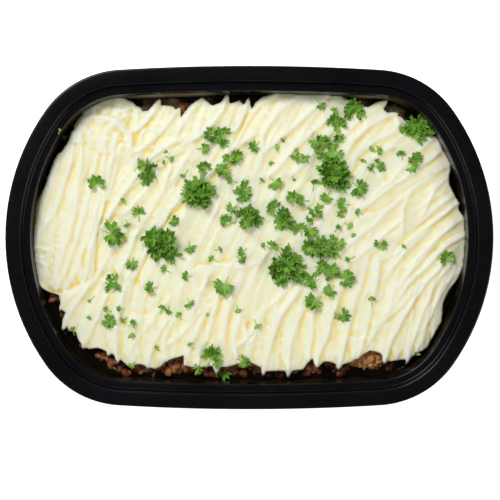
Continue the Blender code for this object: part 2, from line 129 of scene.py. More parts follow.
# Strokes of the fork: start, middle and end of each crest, then how wide the
# hollow beside it is, how wide its steep side is, and its strength.
STROKES = (
    (-79.4, 48.4, -82.5, 25, -93.3, 2.5, 4.6, 1, 1), (-76.7, 50.2, -77.1, 19.2, -89.7, -24, 4.6, 1, 1),
    (-67.7, 41.2, -74.4, 8.8, -86.6, -24.9, 4.4, 1, 0.9),
    (-63.6, 43.9, -70.4, 6.1, -82.1, -23.6, 4.2, 1.1, 1),
    (-59.1, 46.6, -64.5, 19.2, -74, -18.6, 4.4, 1.1, 1.1),
    (-84.3, 39.4, -89.7, 21.4, -96, -3.3, 3.6, 1, 0.5),
    (-70.8, 49.3, -79.8, 2.5, -92.9, -22.7, 3.2, 0.9, 0.5),
    (-56.4, 43.9, -61.4, 25, -69, 2.5, 3.4, 0.9, 0.6), (-69, 60.1, -61.8, 56.5, -53.3, 58.8, 4, 1.2, 0.8),
    (-74.4, 52.9, -66.8, 54.3, -57.3, 52.5, 3.4, 1.2, 0.7),
    (-78.9, 49.3, -74.9, 50.2, -70.8, 43.9, 3, 1, 0.8),
    (-70.8, 44.8, -65.4, 44.4, -59.1, 45.3, 3.2, 1.2, 0.7),
    (-53.3, 59.7, -49.7, 56.1, -51, 50.2, 3.2, 1.2, 0.9),
    (-57.3, 52.9, -54.2, 48.4, -52.4, 41.2, 3.4, 1, 0.8),
    (-40.7, 62.8, -43.8, 54.7, -51, 48, 4.6, 1, 1.3), (-30.8, 58.8, -38, 48.9, -50.1, 38.5, 5, 1, 1.2),
    (-20.9, 62.8, -27.2, 54.3, -33, 45.7, 5.4, 1.2, 0.6),
    (-10.5, 65.1, -14.6, 52.5, -26.7, 43, 4.8, 1, 1.3), (-0.2, 63.3, -2.9, 52.9, -8.3, 46.6, 4.8, 1, 1.2),
    (-27.2, 44.4, -36.6, 40.8, -45.6, 34, 4.6, 1, 1.1), (5.7, 47.5, -7.8, 38.5, -22.2, 25.5, 4.8, 1, 1.1),
    (-29.4, 39.4, -40.2, 32.2, -54.6, 21.4, 4, 1, 0.9),
    (-7.8, 34.9, -21.3, 25.5, -39.8, 5.2, 4.6, 0.9, 1.4),
    (-34.8, 32.2, -38.9, 20.5, -47.4, 7.5, 3.6, 1, 0.9),
    (-27.6, 35.8, -35.7, 23.2, -51, 4.3, 3.4, 0.9, 0.5), (-44.7, 32.2, -53.3, 23.2, -64.1, 7, 4, 1, 1.2),
    (-40.2, 33.1, -45.6, 22.3, -55.5, 11.5, 3, 0.9, 0.6), (-18.6, 23.2, -30.3, 7, -38, -11, 4, 1, 0.9),
    (-12.3, 18.7, -19.1, 4.3, -26.7, -11, 3.8, 1, 0.8), (-6, 16.9, -15, 0.7, -19.1, -9.2, 3.4, 1, 0.7),
    (-54.6, 4.3, -61.8, -5.6, -69, -20, 4, 1.1, 0.9), (-48.3, 5.2, -53.7, -5.6, -59.1, -20, 3.6, 1, 0.8),
    (-44.7, -3.3, -48.8, -11, -53.3, -20.9, 3.4, 1.1, 0.9),
    (-64.5, 7, -71.7, -5.6, -74.4, -18.2, 3.4, 1, 0.8), (22.8, 63.7, 13.3, 56.1, 5.7, 44.8, 4.8, 1, 1),
    (32.7, 62.4, 20.5, 50.2, 6.6, 37.6, 4.6, 1, 1.1), (39, 56.5, 24.6, 43.5, 7.5, 25.9, 4.6, 1, 1.1),
    (39.9, 50.2, 30.9, 40.3, 19.2, 27.7, 3.8, 1, 0.8), (5.7, 51.1, 6.1, 41.2, 4.3, 31.3, 3.4, 1.1, 1),
    (13.8, 65.5, 5.7, 60.1, 1.2, 53.8, 3.8, 1.1, 0.8), (68.2, 56.5, 52.5, 48.4, 42.6, 35.8, 5.2, 1, 1.3),
    (62.4, 62.4, 55.2, 56.5, 45.3, 49.3, 3.6, 1, 0.9), (64.6, 46.6, 52.5, 40.3, 43.9, 27.7, 4.6, 1, 1.1),
    (69.6, 41.2, 55.2, 34.9, 45.3, 18.7, 4, 1, 0.8), (66.9, 54.7, 67.8, 50.2, 64.2, 46.6, 2.6, 0.9, 0.9),
    (84.9, 45.7, 75.9, 38.5, 63.3, 25, 4.6, 1.1, 0.9), (87.1, 39.4, 72.3, 28.6, 48, 11.1, 4.6, 1, 1.2),
    (90.3, 33.1, 76.8, 24.1, 60.6, 11.5, 3.8, 1, 0.8), (90.3, 27.7, 82.2, 18.7, 76.8, 7, 3.8, 1, 0.8),
    (82.2, 26.8, 71.4, 18.7, 68.7, 0.7, 3.8, 1, 0.9), (43.5, 27.7, 38.1, 16.9, 30.9, 5.2, 3.8, 1, 0.7),
    (50.7, 27.7, 46.2, 14.2, 39, 2.5, 3.6, 1, 0.7), (93.4, 18.7, 85.8, 14.2, 75.9, 6.1, 3.6, 1, 1),
    (95.2, 16, 78.6, 2.5, 61.5, -17.3, 4.4, 1, 1.2), (97.5, 9.3, 84, -2, 66, -23.6, 4.2, 1, 1.1),
    (98.4, 1.6, 81.3, -11, 58.8, -38, 4.4, 1, 1.1), (93, -4.7, 78.6, -20, 55.2, -39.8, 3.6, 1, 1),
    (88.5, -11, 71.4, -28.1, 51.6, -43.4, 3.8, 0.9, 1.1), (83.1, 5.2, 69.6, -5.6, 56.1, -11, 3.6, 1, 0.7),
    (69.6, 9.7, 60.6, 0.7, 46.2, -11, 3.8, 1, 0.8), (62.4, 11.5, 50.7, 1.6, 36.3, -11, 3.6, 1, 0.7),
    (91.6, -11, 79.9, -29.9, 70.5, -57.3, 4.6, 1, 1),
    (86.2, -13.7, 69.1, -36.2, 60.1, -57.3, 4.8, 1, 1.2),
    (94.3, -14.6, 86.2, -26.3, 78.6, -41.6, 3.8, 1, 0.7),
    (72.3, -15.5, 57.9, -39.8, 50.7, -51.5, 4, 1, 0.7), (58.3, -9.2, 54.7, -30.8, 48.9, -55.5, 5, 1, 1.3),
    (52.5, -11, 45.3, -38, 39.9, -60, 5, 1, 1.2), (45.3, -11, 35.4, -41.6, 30, -58.7, 5, 1, 1.3),
    (30.9, -15.5, 28.2, -37.1, 26.8, -56, 3.6, 0.9, 1),
    (30, -38, 30.9, -46.1, 29.5, -52.4, 2.6, 0.9, 0.8), (30.9, -20, 20.5, -41.6, 17.4, -63.2, 5, 1, 1.2),
    (22.8, -23.6, 12, -41.6, 6.1, -63.2, 5, 1, 1.3), (14.7, -24.5, 5.7, -37.1, 1.2, -50.6, 4, 1, 0.7),
    (5.7, -33.5, 2.1, -41.6, -4.2, -48.8, 3.6, 1, 1), (-2.9, -33.5, -6.5, -47, -3.3, -57.3, 4, 1, 1.1),
    (-1.5, -15.5, -7.8, -29.9, -12.3, -48.3, 4.2, 1, 0.9),
    (-9.2, -13.7, -16.4, -35.3, -24, -59.6, 4.8, 1, 1.2),
    (-15, -28.1, -22.7, -39.8, -29.4, -58.7, 4.4, 1, 1.2),
    (-12.3, -48.8, -14.6, -55.1, -14.6, -62.3, 2.6, 1.4, 0.9),
    (-21.3, -30.8, -28.5, -41.6, -37.5, -48.8, 3.8, 1, 0.8),
    (-31.2, -34.4, -37.5, -44.3, -36.6, -56, 3.8, 1, 1),
    (-33.9, -33.5, -41.6, -46.1, -46.1, -60, 4.6, 1, 1.2),
    (-40.2, -36.2, -48.3, -44.3, -53.7, -51.5, 3.6, 1, 0.6),
    (-55.5, -21.8, -59.1, -40.7, -59.1, -57.3, 4.4, 1, 1.1),
    (-57.8, -39.8, -61.4, -47, -64.5, -54.2, 3, 1, 0.8),
    (-61.8, -20, -68.6, -38, -75.3, -50.6, 4.6, 1, 1.2),
    (-68.6, -17.3, -78, -30.8, -84.8, -42.5, 4.8, 1, 1.1),
    (-73.5, -20.9, -80.7, -27.2, -86.1, -33, 3.8, 1.2, 0.7),
    (5.7, -11, -6, -13.7, -15.9, -11, 3.8, 1.2, 0.8), (-15, -11, -22.2, -26.3, -26.7, -38, 4, 1, 0.9),
    (-4.2, -11, -12.3, -21.8, -20, -29, 3.6, 1, 0.6),
    (-26.7, -15.5, -34.8, -24.5, -40.2, -34.4, 3.4, 1, 0.6),
    (24.6, -11, 14.7, -26.3, 5.7, -33.5, 3.8, 1, 0.7), (14.7, 2.5, 5.7, -11, 0.3, -23.6, 3.6, 1, 0.7),
    (40.8, -11, 32.7, -23.6, 22.8, -29.9, 3.6, 1, 0.7), (16.5, 25.9, 8.4, 14.2, 3, 2.5, 3.6, 1.1, 0.6),
    (28.2, 30.4, 21, 21.4, 13.8, 14.2, 3.4, 1.1, 0.6),
)

# Steps where one stroke lies over another: height, reach, and the line of the step.
LEDGES = (
    (0.9, 4, ((-28.5, 41.2), (-44.7, 32.2), (-53.7, 23.2), (-61.8, 11.5), (-64.1, 6.1))),
    (1, 4, ((-6.9, 35.8), (-20.4, 25), (-30.3, 17.8), (-38, 7))),
    (0.8, 3, ((-1.1, 56.5), (-2.9, 52), (-8.3, 43.9))),
    (0.8, 4, ((-55.5, -34.4), (-44.7, -35.3), (-34.8, -25.4), (-23.1, -11.9), (-1.5, -11))),
    (1.6, 5, ((-96, -17.7), (-89.7, -24.5), (-84.3, -25.4), (-78.9, -22.7), (-73.5, -19.1))),
    (0.7, 3, ((-74.4, -3.8), (-74.9, -11), (-74.4, -19.1))),
    (0.6, 3, ((-64.5, 7), (-65.4, 0.7), (-69, -5.6))),
    (0.7, 3, ((-2, -35.3), (0.3, -46.1), (5.7, -41.6))),
    (0.7, 3, ((48, 11.1), (57.9, 11.5), (67.8, 17.8))),
    (0.7, 3, ((40.8, -43.8), (51.6, -44.3), (56.1, -39.8))),
    (0.6, 3, ((-53.3, -11), (-53.3, -20.9), (-49.2, -21.8))),
    (0.7, 3, ((-52.4, 48.4), (-52.4, 40.3), (-48.3, 38.5))),
    (0.6, 3, ((58.8, 32.2), (60.6, 25), (64.2, 25.9))),
    (0.6, 3, ((54.3, -50.6), (52.5, -45.2), (56.1, -40.7))),
    (0.6, 3, ((-22.2, -11), (-12.3, -13.7), (-2.4, -6.5))),
)

# Torn patches: x, y, reach, height.
TORN = (
    (-62.0, 54.0, 11.0, 1.3), (-50.0, 47.0, 8.0, 1.0), (-52.0, -38.0, 9.0, 0.9), (2.0, -41.0, 6.0, 0.9),
    (56.0, -44.0, 7.0, 0.8), (-94.0, -8.0, 8.0, 0.8), (80.0, -47.0, 7.0, 0.8), (-24.0, -22.0, 8.0, 0.6),
    (-36.0, 24.0, 7.0, 0.6), (88.0, 22.0, 6.0, 0.7), (8.0, 60.0, 6.0, 0.6),
)

# The potato's edge between its tips.
BODY = (
    (-70.4, 59.2), (-65.4, 62.8), (-58.2, 63.7), (-52.4, 61.5), (-48.3, 56.5), (-43.4, 57.4),
    (-38.9, 59.7), (-33.9, 58.8), (-32.6, 54.3), (-30.8, 52.5), (-27.6, 56.1), (-24, 60.6), (-20.4, 61.9),
    (-16.8, 59.2), (-13.2, 60.6), (-8.3, 60.1), (-4.2, 61.5), (-1.5, 57.4), (1.2, 57.4), (5.7, 63.3),
    (11.5, 65.5), (22.8, 66), (32.7, 65.5), (40.8, 64.2), (46.2, 60.6), (53.4, 58.3), (58.8, 59.2),
    (62.4, 56.5), (68.7, 54.7), (73.2, 50.2), (80.4, 47.1), (85.6, 45.3), (87.4, 39.4), (90.8, 34.9),
    (90.2, 27.7), (90.2, 24.1), (91.8, 20.5), (94.6, 16.2), (94.0, 12.9), (97.4, 8.8), (98.0, 3.4),
    (98.4, -3.3), (97.0, -11), (93.6, -19.1), (88.9, -24.5), (87.1, -30.3), (86.2, -38), (83.1, -43.4),
    (79.9, -49.2), (75.9, -51.5), (71.4, -54.2), (66.9, -54.6), (62.4, -55.5), (58.8, -51.9), (54.3, -51),
    (50.2, -53.7), (45.3, -55.5), (40.8, -56.9), (35.4, -55.1), (30.9, -56.4), (27.7, -53.3),
    (24.1, -59.1), (18.3, -59.6), (12.4, -59.6), (8.4, -60), (3.9, -58.2), (-0.6, -56), (-5.1, -56.9),
    (-11, -57.8), (-17.7, -57.8), (-23.1, -58.7), (-28.1, -57.8), (-29.4, -52.8), (-33.5, -54.2),
    (-38, -56), (-42.5, -59.1), (-49.2, -56.9), (-54.6, -57.8), (-59.6, -53.7), (-63.6, -51.9),
    (-68.1, -49.7), (-72.6, -50.1), (-76.2, -47), (-77.6, -42.5), (-81.6, -42), (-81.2, -34.8),
    (-84.8, -32.1), (-85.2, -25.8), (-89.7, -24.5), (-93.3, -22.7), (-97.5, -18.5), (-100.5, -12),
    (-101, -2), (-100, 5), (-97.6, 11.5), (-93.3, 20.5), (-87.9, 32.7), (-82.5, 41.7), (-78.9, 47.1),
    (-77.6, 52), (-74.4, 55.2), (-74.9, 57.9),
)
MASH_FLOOR = 23.6
MASH_TOP = 28.6
DOME = 1.2
CELL = 0.48
GRID_X, GRID_Y = 100.0, 67.0
FIELD_SEED = 5
# The food stands nearer the eye than the tray's lip, so its points spread a little.
SPREAD = 1.012

# How a rib of a fan wanders, how wide and strong it is, and its section.
RIB_SHIFT = 0.28
END_SHIFT = (-0.4, 1.0)
BOW_SHIFT = 0.015
RIB_PARTS = 12
LEAST_WIDTHS = (2.6, 3.0)
STRONG_RIB = (0.8, 1.2)
WEAK_RIB = (0.35, 0.8)
RIB_MARGIN = 5
RIB_START, RIB_BEND = 0.15, 0.75
RIB_FOOT = 1.25
RIB_GENTLE = (1.9, 2.0)
RIB_STEEP = (0.5, 1.3)
RIB_WAVE = (0.3, 7.0, 100)
TILE = 1.0
FINE_SHARE = 0.35
HEAD_SINK = 3.0
HEAD_RUN = 16.0
RIM_SLACK = -0.2
OUTSIDE = -50.0
UNDER_FANS = -1.5

# A stroke's section, as reach in widths and bend, and how its ends come and go,
# as start, run and bend.
STROKE_MARGIN = 8
STROKE_GENTLE = (1.5, 2.2)
STROKE_STEEP = (1.3, 1.4)
STROKE_WAVE = (0.25, 6.0, 61)
STROKE_HEAD = (2.0, 8.0, 0.8)
STROKE_TAIL = (2.5, 4.0, 1.0)
TIP_HALF = 2.6
TIP_TAIL = (0.05, 7.0, 0.8)
TIP_HEAD = (0.05, 6.0, 0.7)
WAVE_ROW = 7.0
LEDGE_ENDS = 0.12
LEDGE_EDGE = 0.35
FLAKES = ((1.0, 7.5, 81), (0.5, 3.6, 82))
FLAKE_EDGE = 2.6
FLAKE_BEND = 1.5

# Random hills: height, pitch, seed.
WANDER_X = ((0.5, 11, 1), (0.3, 4.5, 2))
WANDER_Y = ((0.5, 11, 3), (0.3, 4.5, 4))
SWELL = ((0.45, 16, 5), (0.25, 6.5, 6))
GRAIN = ((0.10, 2.2, 11), (0.06, 1.1, 12))

# The potato's edge, where it rolls down to the gravy or is pressed to the wall.
BODY_GROWTH = 0.3
EDGE_RUN = 0.4
EDGE_BLUR = 0.62
ROLL_START, ROLL_RUN = 0.38, 0.5
RISE_BLUR = 0.31
PRESSED_DEPTH = 0.8
WALL_REACH = 11.7
PRESSED_FOOT = 26.5
DEPTH_KEPT = 3
DEPTH_BLUR = 0.5
FLAT_GUARD = 0.05
EDGE_WIDTH = 1.6

# How deep a crease and how high a crest must be for its full colour: the creases take a painted golden
# shade and the crests a painted whiter highlight.
RELIEF_BLUR = 1.5
CREASE_SHADE_DEPTH, CREASE_SHADE_BEND, CREASE_SHADE_BLUR = 0.45, 1.2, 0.6
CREST_HIGHLIGHT_HEIGHT = 0.75

# ---- parsley: x, y, width, leaflets; the clumps stand where the CAD has them --
CLUMPS = (
    (-47, 30, 12.0, 15), (-23, 20, 15.5, 30), (-14, 46, 11.0, 13), (-40, -3, 17.5, 26),
    (39, 29, 17.5, 28), (48, 58, 11.5, 13), (77, 49, 16.0, 20), (17, -14, 17.5, 28), (0, 9, 14.0, 18),
    (16, 8, 12.0, 16), (32, -5, 12.5, 16), (-3, 21, 9.5, 12),
)

CLUMP_SEED = 21

LEAF_SEED = 12
LEAF_GROWTH = 1.08

# How a leaflet is cut, pleated and folded, in shares of its length.
LARGE_LEAF = 3.6
LARGE_LEAF_STEPS = 5
SMALL_LEAF_STEPS = 4
PLEATS = (5, 9)
LEAF_SPREAD = (0.65, 1.25)
LEAF_BODY, LOBE_CUT, PLEAT_CUT, PLEAT_BEND = 0.60, 0.28, 0.20, 0.8
LOBES = 3
LEAF_TAPER = 0.35
RAGGED = 0.06
CUP = (-0.05, 0.35)
PLEAT_DEPTH = (0.05, 0.12)
FOLD = (0.0, 0.7)
RIPPLE, RIPPLES = 0.10, 4
LEAF_RINGS = (0.3, 0.6, 0.82, 1.0)
BASE_TINT, INNER_TINT, PLEAT_TINT = 0.6, 0.45, 0.22
BLADE = 0.10

# Stems and how the pieces lie.
STEM = 0.2
STEM_SIDES = 5
STEM_ROWS = 6
STEM_BEND = (0.2, 0.8)
STEM_CHANCE = 0.4
STEM_LONG, STEM_SHORT = 0.9, 0.6
STEM_TINT = 0.8
SMALL_SPRIG = 5
# A leaflet's length in widths of its sprig: one of many, one of a few, a lone one.
MANY_LENGTH, FEW_LENGTH, LONE_LENGTH = 0.34, 0.5, 0.8
LEAF_SIZES = (0.75, 1.15)
LEAF_ROLL = 0.6
LEAF_TINT = (-0.15, 0.2)
UNDER_TINT = 0.25
REST_SHARE = 18
SINK = 0.15
CLEARANCE = 0.05
DRAPE = 0.12

# Loose parsley: x, y, width, leaflets.
LOOSE_LEAVES = (
    (-69.0, 25.9, 8.0, 4), (-37.1, 38.5, 2.5, 1), (-38.4, 33.6, 2.5, 1), (-35.3, 35.4, 2.5, 1),
    (-29.0, 28.2, 3.0, 1), (-56.9, 16.9, 3.5, 2), (-50.1, 12.4, 7.5, 3), (-59.1, 0.7, 12.0, 4),
    (-54.6, 5.7, 4.0, 2), (-33.5, 7.0, 6.0, 3), (-26.7, -5.6, 6.0, 2), (-38.4, -14.1, 5.0, 2),
    (-53.3, -12.8, 6.0, 4), (-60.9, -20.0, 9.5, 6), (-45.2, -22.7, 5.5, 4), (-29.0, -17.3, 5.0, 2),
    (-16.8, -9.6, 3.0, 1), (-12.8, -5.1, 4.0, 2), (-12.3, -23.1, 9.0, 4), (-71.7, -28.1, 3.0, 1),
    (-64.5, -32.1, 4.0, 2), (-71.7, -36.6, 2.5, 1), (-58.7, -32.1, 4.0, 2), (-61.8, -38.0, 7.0, 5),
    (-57.3, -37.1, 4.0, 2), (-51.9, -38.0, 5.0, 3), (-52.8, -43.4, 4.0, 1), (-38.9, -30.8, 5.0, 2),
    (-36.2, -33.5, 4.0, 2), (-31.7, -34.4, 4.0, 2), (-26.3, -30.3, 5.0, 3), (-19.1, -34.8, 3.0, 1),
    (-5.1, -33.0, 4.0, 2), (-42.0, -49.7, 2.5, 1), (-26.7, -47.9, 3.5, 2), (-16.4, -51.5, 11.0, 4),
    (-12.8, -61.8, 7.0, 4), (-79.4, -41.6, 2.5, 1), (-61.8, -57.3, 5.0, 3), (-53.3, -57.8, 4.0, 2),
    (-22.7, -59.6, 5.0, 3), (-1.5, -56.4, 6.0, 4), (-3.3, -10.5, 5.0, 3), (-3.8, -6.9, 5.0, 3),
    (-19.1, 40.3, 6.5, 4), (-20.9, 32.7, 6.5, 5), (-13.2, 30.4, 8.0, 5), (-9.6, 34.9, 6.0, 4),
    (-4.7, 34.9, 8.0, 5), (-8.7, 25.9, 5.0, 3), (-11.0, 8.8, 6.0, 4), (-8.7, 12.9, 5.0, 3),
    (-11.9, 7.0, 5.0, 3), (1.6, 40.3, 6.0, 4), (15.1, 43.5, 3.0, 2), (12.0, 40.3, 2.5, 1),
    (9.7, 34.0, 3.0, 1), (22.3, 36.3, 8.5, 6), (32.7, 58.8, 5.0, 3), (38.1, 54.3, 9.0, 6),
    (39.9, 51.6, 7.0, 4), (39.9, 44.4, 6.0, 4), (31.8, 42.1, 7.0, 5), (34.5, 43.9, 6.0, 4),
    (30.9, 38.5, 5.0, 3), (37.6, 36.5, 11.0, 8), (29.1, 25.0, 6.0, 2), (54.7, 39.4, 3.0, 1),
    (58.8, 39.0, 5.0, 3), (57.0, 32.2, 8.5, 6), (51.1, 34.9, 3.0, 1), (67.8, 38.1, 5.0, 3),
    (74.1, 34.2, 9.5, 7), (50.7, 21.4, 8.0, 5), (48.4, 11.5, 4.0, 2), (40.8, 15.1, 6.5, 4),
    (40.8, 10.2, 5.0, 3), (5.7, 25.9, 3.0, 2), (12.4, 23.7, 7.0, 3), (20.1, 25.9, 3.0, 2),
    (9.7, 14.2, 7.5, 4), (18.3, 18.7, 6.5, 4), (22.3, 16.9, 6.5, 4), (34.0, 17.4, 6.5, 4),
    (29.5, 10.6, 9.5, 6), (27.7, 1.6, 7.5, 4), (22.3, 5.2, 6.5, 4), (6.1, -3.3, 4.0, 2),
    (11.1, -3.3, 5.0, 3), (25.5, -3.3, 7.5, 5), (36.7, -6.9, 6.5, 4), (40.3, -4.2, 6.5, 4),
    (37.6, -0.6, 5.0, 3), (44.8, -9.6, 3.0, 1), (33.6, -12.3, 6.5, 4), (37.6, -14.1, 7.5, 5),
    (27.7, -19.5, 8.5, 6), (35.4, -18.6, 5.0, 2), (45.3, -19.5, 8.5, 5), (35.4, -24.5, 6.0, 4),
    (27.3, -29.9, 8.5, 5), (43.5, -35.7, 7.0, 4), (39.9, -35.3, 4.0, 2), (55.2, -27.2, 5.0, 2),
    (57.4, -3.3, 5.0, 3), (61.0, -3.3, 5.0, 3), (69.1, -4.2, 3.0, 1), (87.1, -8.3, 7.5, 4),
    (45.3, 5.2, 4.0, 2), (39.9, 4.8, 4.0, 2), (3.4, -39.3, 3.0, 1), (75.4, -52.4, 3.0, 1),
    (46.6, 1.6, 3.0, 1), (-84.4, 47.8, 1.8, 1), (-83.5, 45.3, 2.6, 1),
)

FILM_SEED = 8
FILM_POINTS = 44
FILM_RINGS = (0.25, 0.5, 0.72, 0.88, 1.0)
FILM_WAVES = ((2, 0.14), (3, 0.12), (5, 0.10), (8, 0.05))
FILM_SINK, FILM_RISE = 0.3, 1.3
FILM_HILLS = ((0.25, 2.5, 71),)
FILM_CLEAR = 0.1
FLECK_LIFT = 0.1

# Thin film between the tips: x, y, half length, half width.
FILMS = (
    (64.5, 57.8, 6.5, 4.2), (-44.0, 60.0, 8.5, 4.6), (-36.5, 60.6, 7.0, 3.6), (53.5, 59.8, 8.0, 4.2),
    (-20.0, 62.6, 5.0, 2.4), (-3.0, 62.0, 4.0, 2.2),
)

# Where sauce has been wiped up the wall: x, y, reach.
WALL_SMEARS = (
    (-44.0, 65.0, 10.0), (54.0, 64.0, 8.0), (-24.0, 66.0, 7.0),
)
# Flecks of potato stuck to the wall: x, y, width.
FLECKS = (
    (-92.6, 27.7, 1.3), (-90.8, 22.3, 1.0), (-93.4, 7.0, 1.4), (-91.6, 25.2, 0.7), (-88.0, 36.0, 0.8),
    (-93.8, 15.5, 0.8), (-80.5, 51.5, 0.9), (92.0, 22.5, 0.8), (60.0, -58.6, 1.0), (84.5, -46.0, 0.8),
)

CRUMB_SEED = 4
CRUMB_RIM = 160
CORE_ROWS = ((26.0, 1.6), (25.5, 21.0), (27.0, 22.8))
LUMPS = ((2.2, 0.16), (3.6, 0.12), (6.5, 0.07), (9.5, 0.04))
LUMP_WAVES = 3
CRUMB_FLAT = ((0.62, 0.9), (0.55, 0.85))
HEAP_LONG, HEAP_SHORT = 1.35, 0.6
HEAP_WIDTHS = (0.55, 1.45)
HEAP_LIFT = (-0.2, 1.5)
HEAP_FALL = 0.6
HEAP_TINT = (-0.2, 0.25)
HEAP_CLEAR = 0.35
RIM_X, RIM_Y = 98, 66
RIM_CLEAR = 1.4
RIM_DEPTHS = (-2.95, 1.0)
# Few crumbs show beyond these, away from the near side.
RIM_SPARSE_Y, RIM_SPARSE_X, RIM_SPARSE = -38, 66, 0.12
RIM_WIDTHS = (0.5, 1.1)
RIM_SINK, RIM_LIFT = 0.45, (-0.3, 0.45)
RIM_TINT = (-0.3, 0.35)

# Heaps of mince that show past the potato: x, y, reach, crumbs, paleness.
CRUMB_HEAPS = (
    (-88.4, -25.8, 4.0, 14, 0.25), (-82.5, -34.8, 3.0, 8, 0.2), (-61.5, -54.2, 5.5, 26, 0.05),
    (-49.2, -59.1, 4.0, 14, 0.25), (-34.4, -57.3, 6.5, 46, 0.25), (-19.5, -60.0, 5.5, 34, 0.12),
    (-4.7, -58.7, 7.0, 28, 0.15), (24.1, -59.1, 7.0, 26, 0.15), (53.8, -55.5, 5.6, 70, 0.8),
    (-29.0, 57.6, 5.0, 34, 0.35),
)


def outline(inset):
    """The tray's outline set in by inset, anticlockwise from the +X end."""
    arcs = (
        (END_X, 0.0, END_RADIUS, 0.0, END_ARC),
        (CORNER_X, CORNER_Y, CORNER_RADIUS, END_ARC, SIDE_ARC),
        (0.0, SIDE_Y, SIDE_RADIUS, SIDE_ARC, math.pi / 2),
    )
    first = []
    for (x, y, radius, start, end), steps in zip(arcs, ARC_STEPS):
        for step in range(steps):
            angle = start + (end - start) * step / steps
            reach = radius - inset
            first.append((x + reach * math.cos(angle), y + reach * math.sin(angle)))
    first.append((0.0, HALF_WIDTH - inset))
    upper = first + [(-x, y) for x, y in reversed(first[:-1])]
    return upper + [(x, -y) for x, y in reversed(upper[1:-1])]


def edge_distance(x, y):
    """How far points stand in from the tray's outline."""
    ax, ay = np.abs(x), np.abs(y)
    end = END_RADIUS - np.hypot(ax - END_X, ay)
    corner = CORNER_RADIUS - np.hypot(ax - CORNER_X, ay - CORNER_Y)
    side = SIDE_RADIUS - np.hypot(ax, ay - SIDE_Y)
    on_end = np.arctan2(ay, ax - END_X) < END_ARC
    on_side = np.arctan2(ay - SIDE_Y, ax) > SIDE_ARC
    return np.where(on_end, end, np.where(on_side, side, corner))


# ---- small helpers ---------------------------------------------------------

def noise(x, y, scale, seed):
    """Smooth random hills from -1 to 1, scale millimetres apart."""
    lattice = np.random.default_rng(seed).uniform(-1, 1, (NOISE_SIDE, NOISE_SIDE))
    u, v = x / scale + NOISE_SIDE / 2, y / scale + NOISE_SIDE / 2
    i, j = np.floor(u).astype(int), np.floor(v).astype(int)
    fu, fv = u - i, v - j
    fu, fv = fu * fu * (3 - 2 * fu), fv * fv * (3 - 2 * fv)
    i, j = i % NOISE_SIDE, j % NOISE_SIDE
    after_i, after_j = (i + 1) % NOISE_SIDE, (j + 1) % NOISE_SIDE
    low = lattice[j, i] * (1 - fu) + lattice[j, after_i] * fu
    high = lattice[after_j, i] * (1 - fu) + lattice[after_j, after_i] * fu
    return low * (1 - fv) + high * fv


def blurred(field, spread):
    """A field softened over spread cells both ways."""
    reach = int(math.ceil(3 * spread))
    weights = np.exp(-np.arange(-reach, reach + 1) ** 2 / (2 * spread * spread))
    weights /= weights.sum()
    for axis in (0, 1):
        padding = [(0, 0), (0, 0)]
        padding[axis] = (reach, reach)
        padded = np.pad(field, padding, mode="edge")
        count = field.shape[axis]
        field = sum(weight * np.take(padded, range(k, k + count), axis=axis)
                    for k, weight in enumerate(weights))
    return field


def hills(base, x, y, layers):
    """A surface with random hills added to it: height, pitch and seed of each layer."""
    for height, pitch, seed in layers:
        base = base + height * noise(x, y, pitch, seed)
    return base


def waving(along, number, shape):
    """A strength near 1 that wanders along a line; shape is height, pitch and seed."""
    height, pitch, seed = shape
    return 1 + height * noise(along, np.full(along.shape, WAVE_ROW * number), pitch, seed)


def grown(value, shape):
    """Grows from 0 to 1 along a line; shape is its start, run and bend."""
    start, run, bend = shape
    return np.clip((value + start) / run, 0, 1) ** bend


def falling(gap, width, shape):
    """Falls from 1 to 0 beside a crest; shape is its reach in widths and its bend."""
    reach, bend = shape
    return np.clip(1 - gap / (width * reach), 0, 1) ** bend


def close_to(path, x, y, margin):
    """Which points lie within a margin of the box round a path."""
    low, high = path.min(axis=0) - margin, path.max(axis=0) + margin
    return np.where((x > low[0]) & (x < high[0]) & (y > low[1]) & (y < high[1]))


def bent_line(start, pull, end, parts):
    """Points on a line that bends towards a point of pull."""
    share = np.linspace(0, 1, parts + 1)[:, None]
    return (1 - share) ** 2 * start + 2 * share * (1 - share) * pull + share ** 2 * end


def on_line(points, share):
    """The point at a share of the length of a line through points."""
    line = np.array(points, dtype=float)
    lengths = np.linalg.norm(np.diff(line, axis=0), axis=1)
    marks = np.concatenate(((0.0,), np.cumsum(lengths))) / lengths.sum()
    return np.array([np.interp(share, marks, line[:, 0]), np.interp(share, marks, line[:, 1])])


def nearest(path, x, y):
    """For each point: its share along a path, its distance from it, and its side."""
    best = np.full(x.shape, 1e9)
    share = np.zeros(x.shape)
    side = np.zeros(x.shape)
    parts = len(path) - 1
    for k in range(parts):
        ax, ay = path[k]
        dx, dy = path[k + 1] - path[k]
        t = ((x - ax) * dx + (y - ay) * dy) / (dx * dx + dy * dy)
        t = np.clip(t, 0, 1)
        px, py = x - (ax + t * dx), y - (ay + t * dy)
        gap = px * px + py * py
        closer = gap < best
        best = np.where(closer, gap, best)
        side = np.where(closer, np.sign(dx * (y - ay) - dy * (x - ax)), side)
        share = np.where(closer, (k + t) / parts, share)
    return share, np.sqrt(best), side


def polygon_depth(x, y, points):
    """How far inside a polygon points lie; negative outside."""
    inside = np.zeros(x.shape, bool)
    best = np.full(x.shape, 1e9)
    for (ax, ay), (bx, by) in zip(points, points[1:] + points[:1]):
        crosses = (ay > y) != (by > y)
        at = (bx - ax) * (y - ay) / (by - ay + 1e-12) + ax
        inside ^= crosses & (x < at)
        dx, dy = bx - ax, by - ay
        t = np.clip(((x - ax) * dx + (y - ay) * dy) / (dx * dx + dy * dy), 0, 1)
        best = np.minimum(best, np.hypot(x - ax - t * dx, y - ay - t * dy))
    return np.where(inside, best, -best)


# ---- the potato's surface ----------------------------------------------------

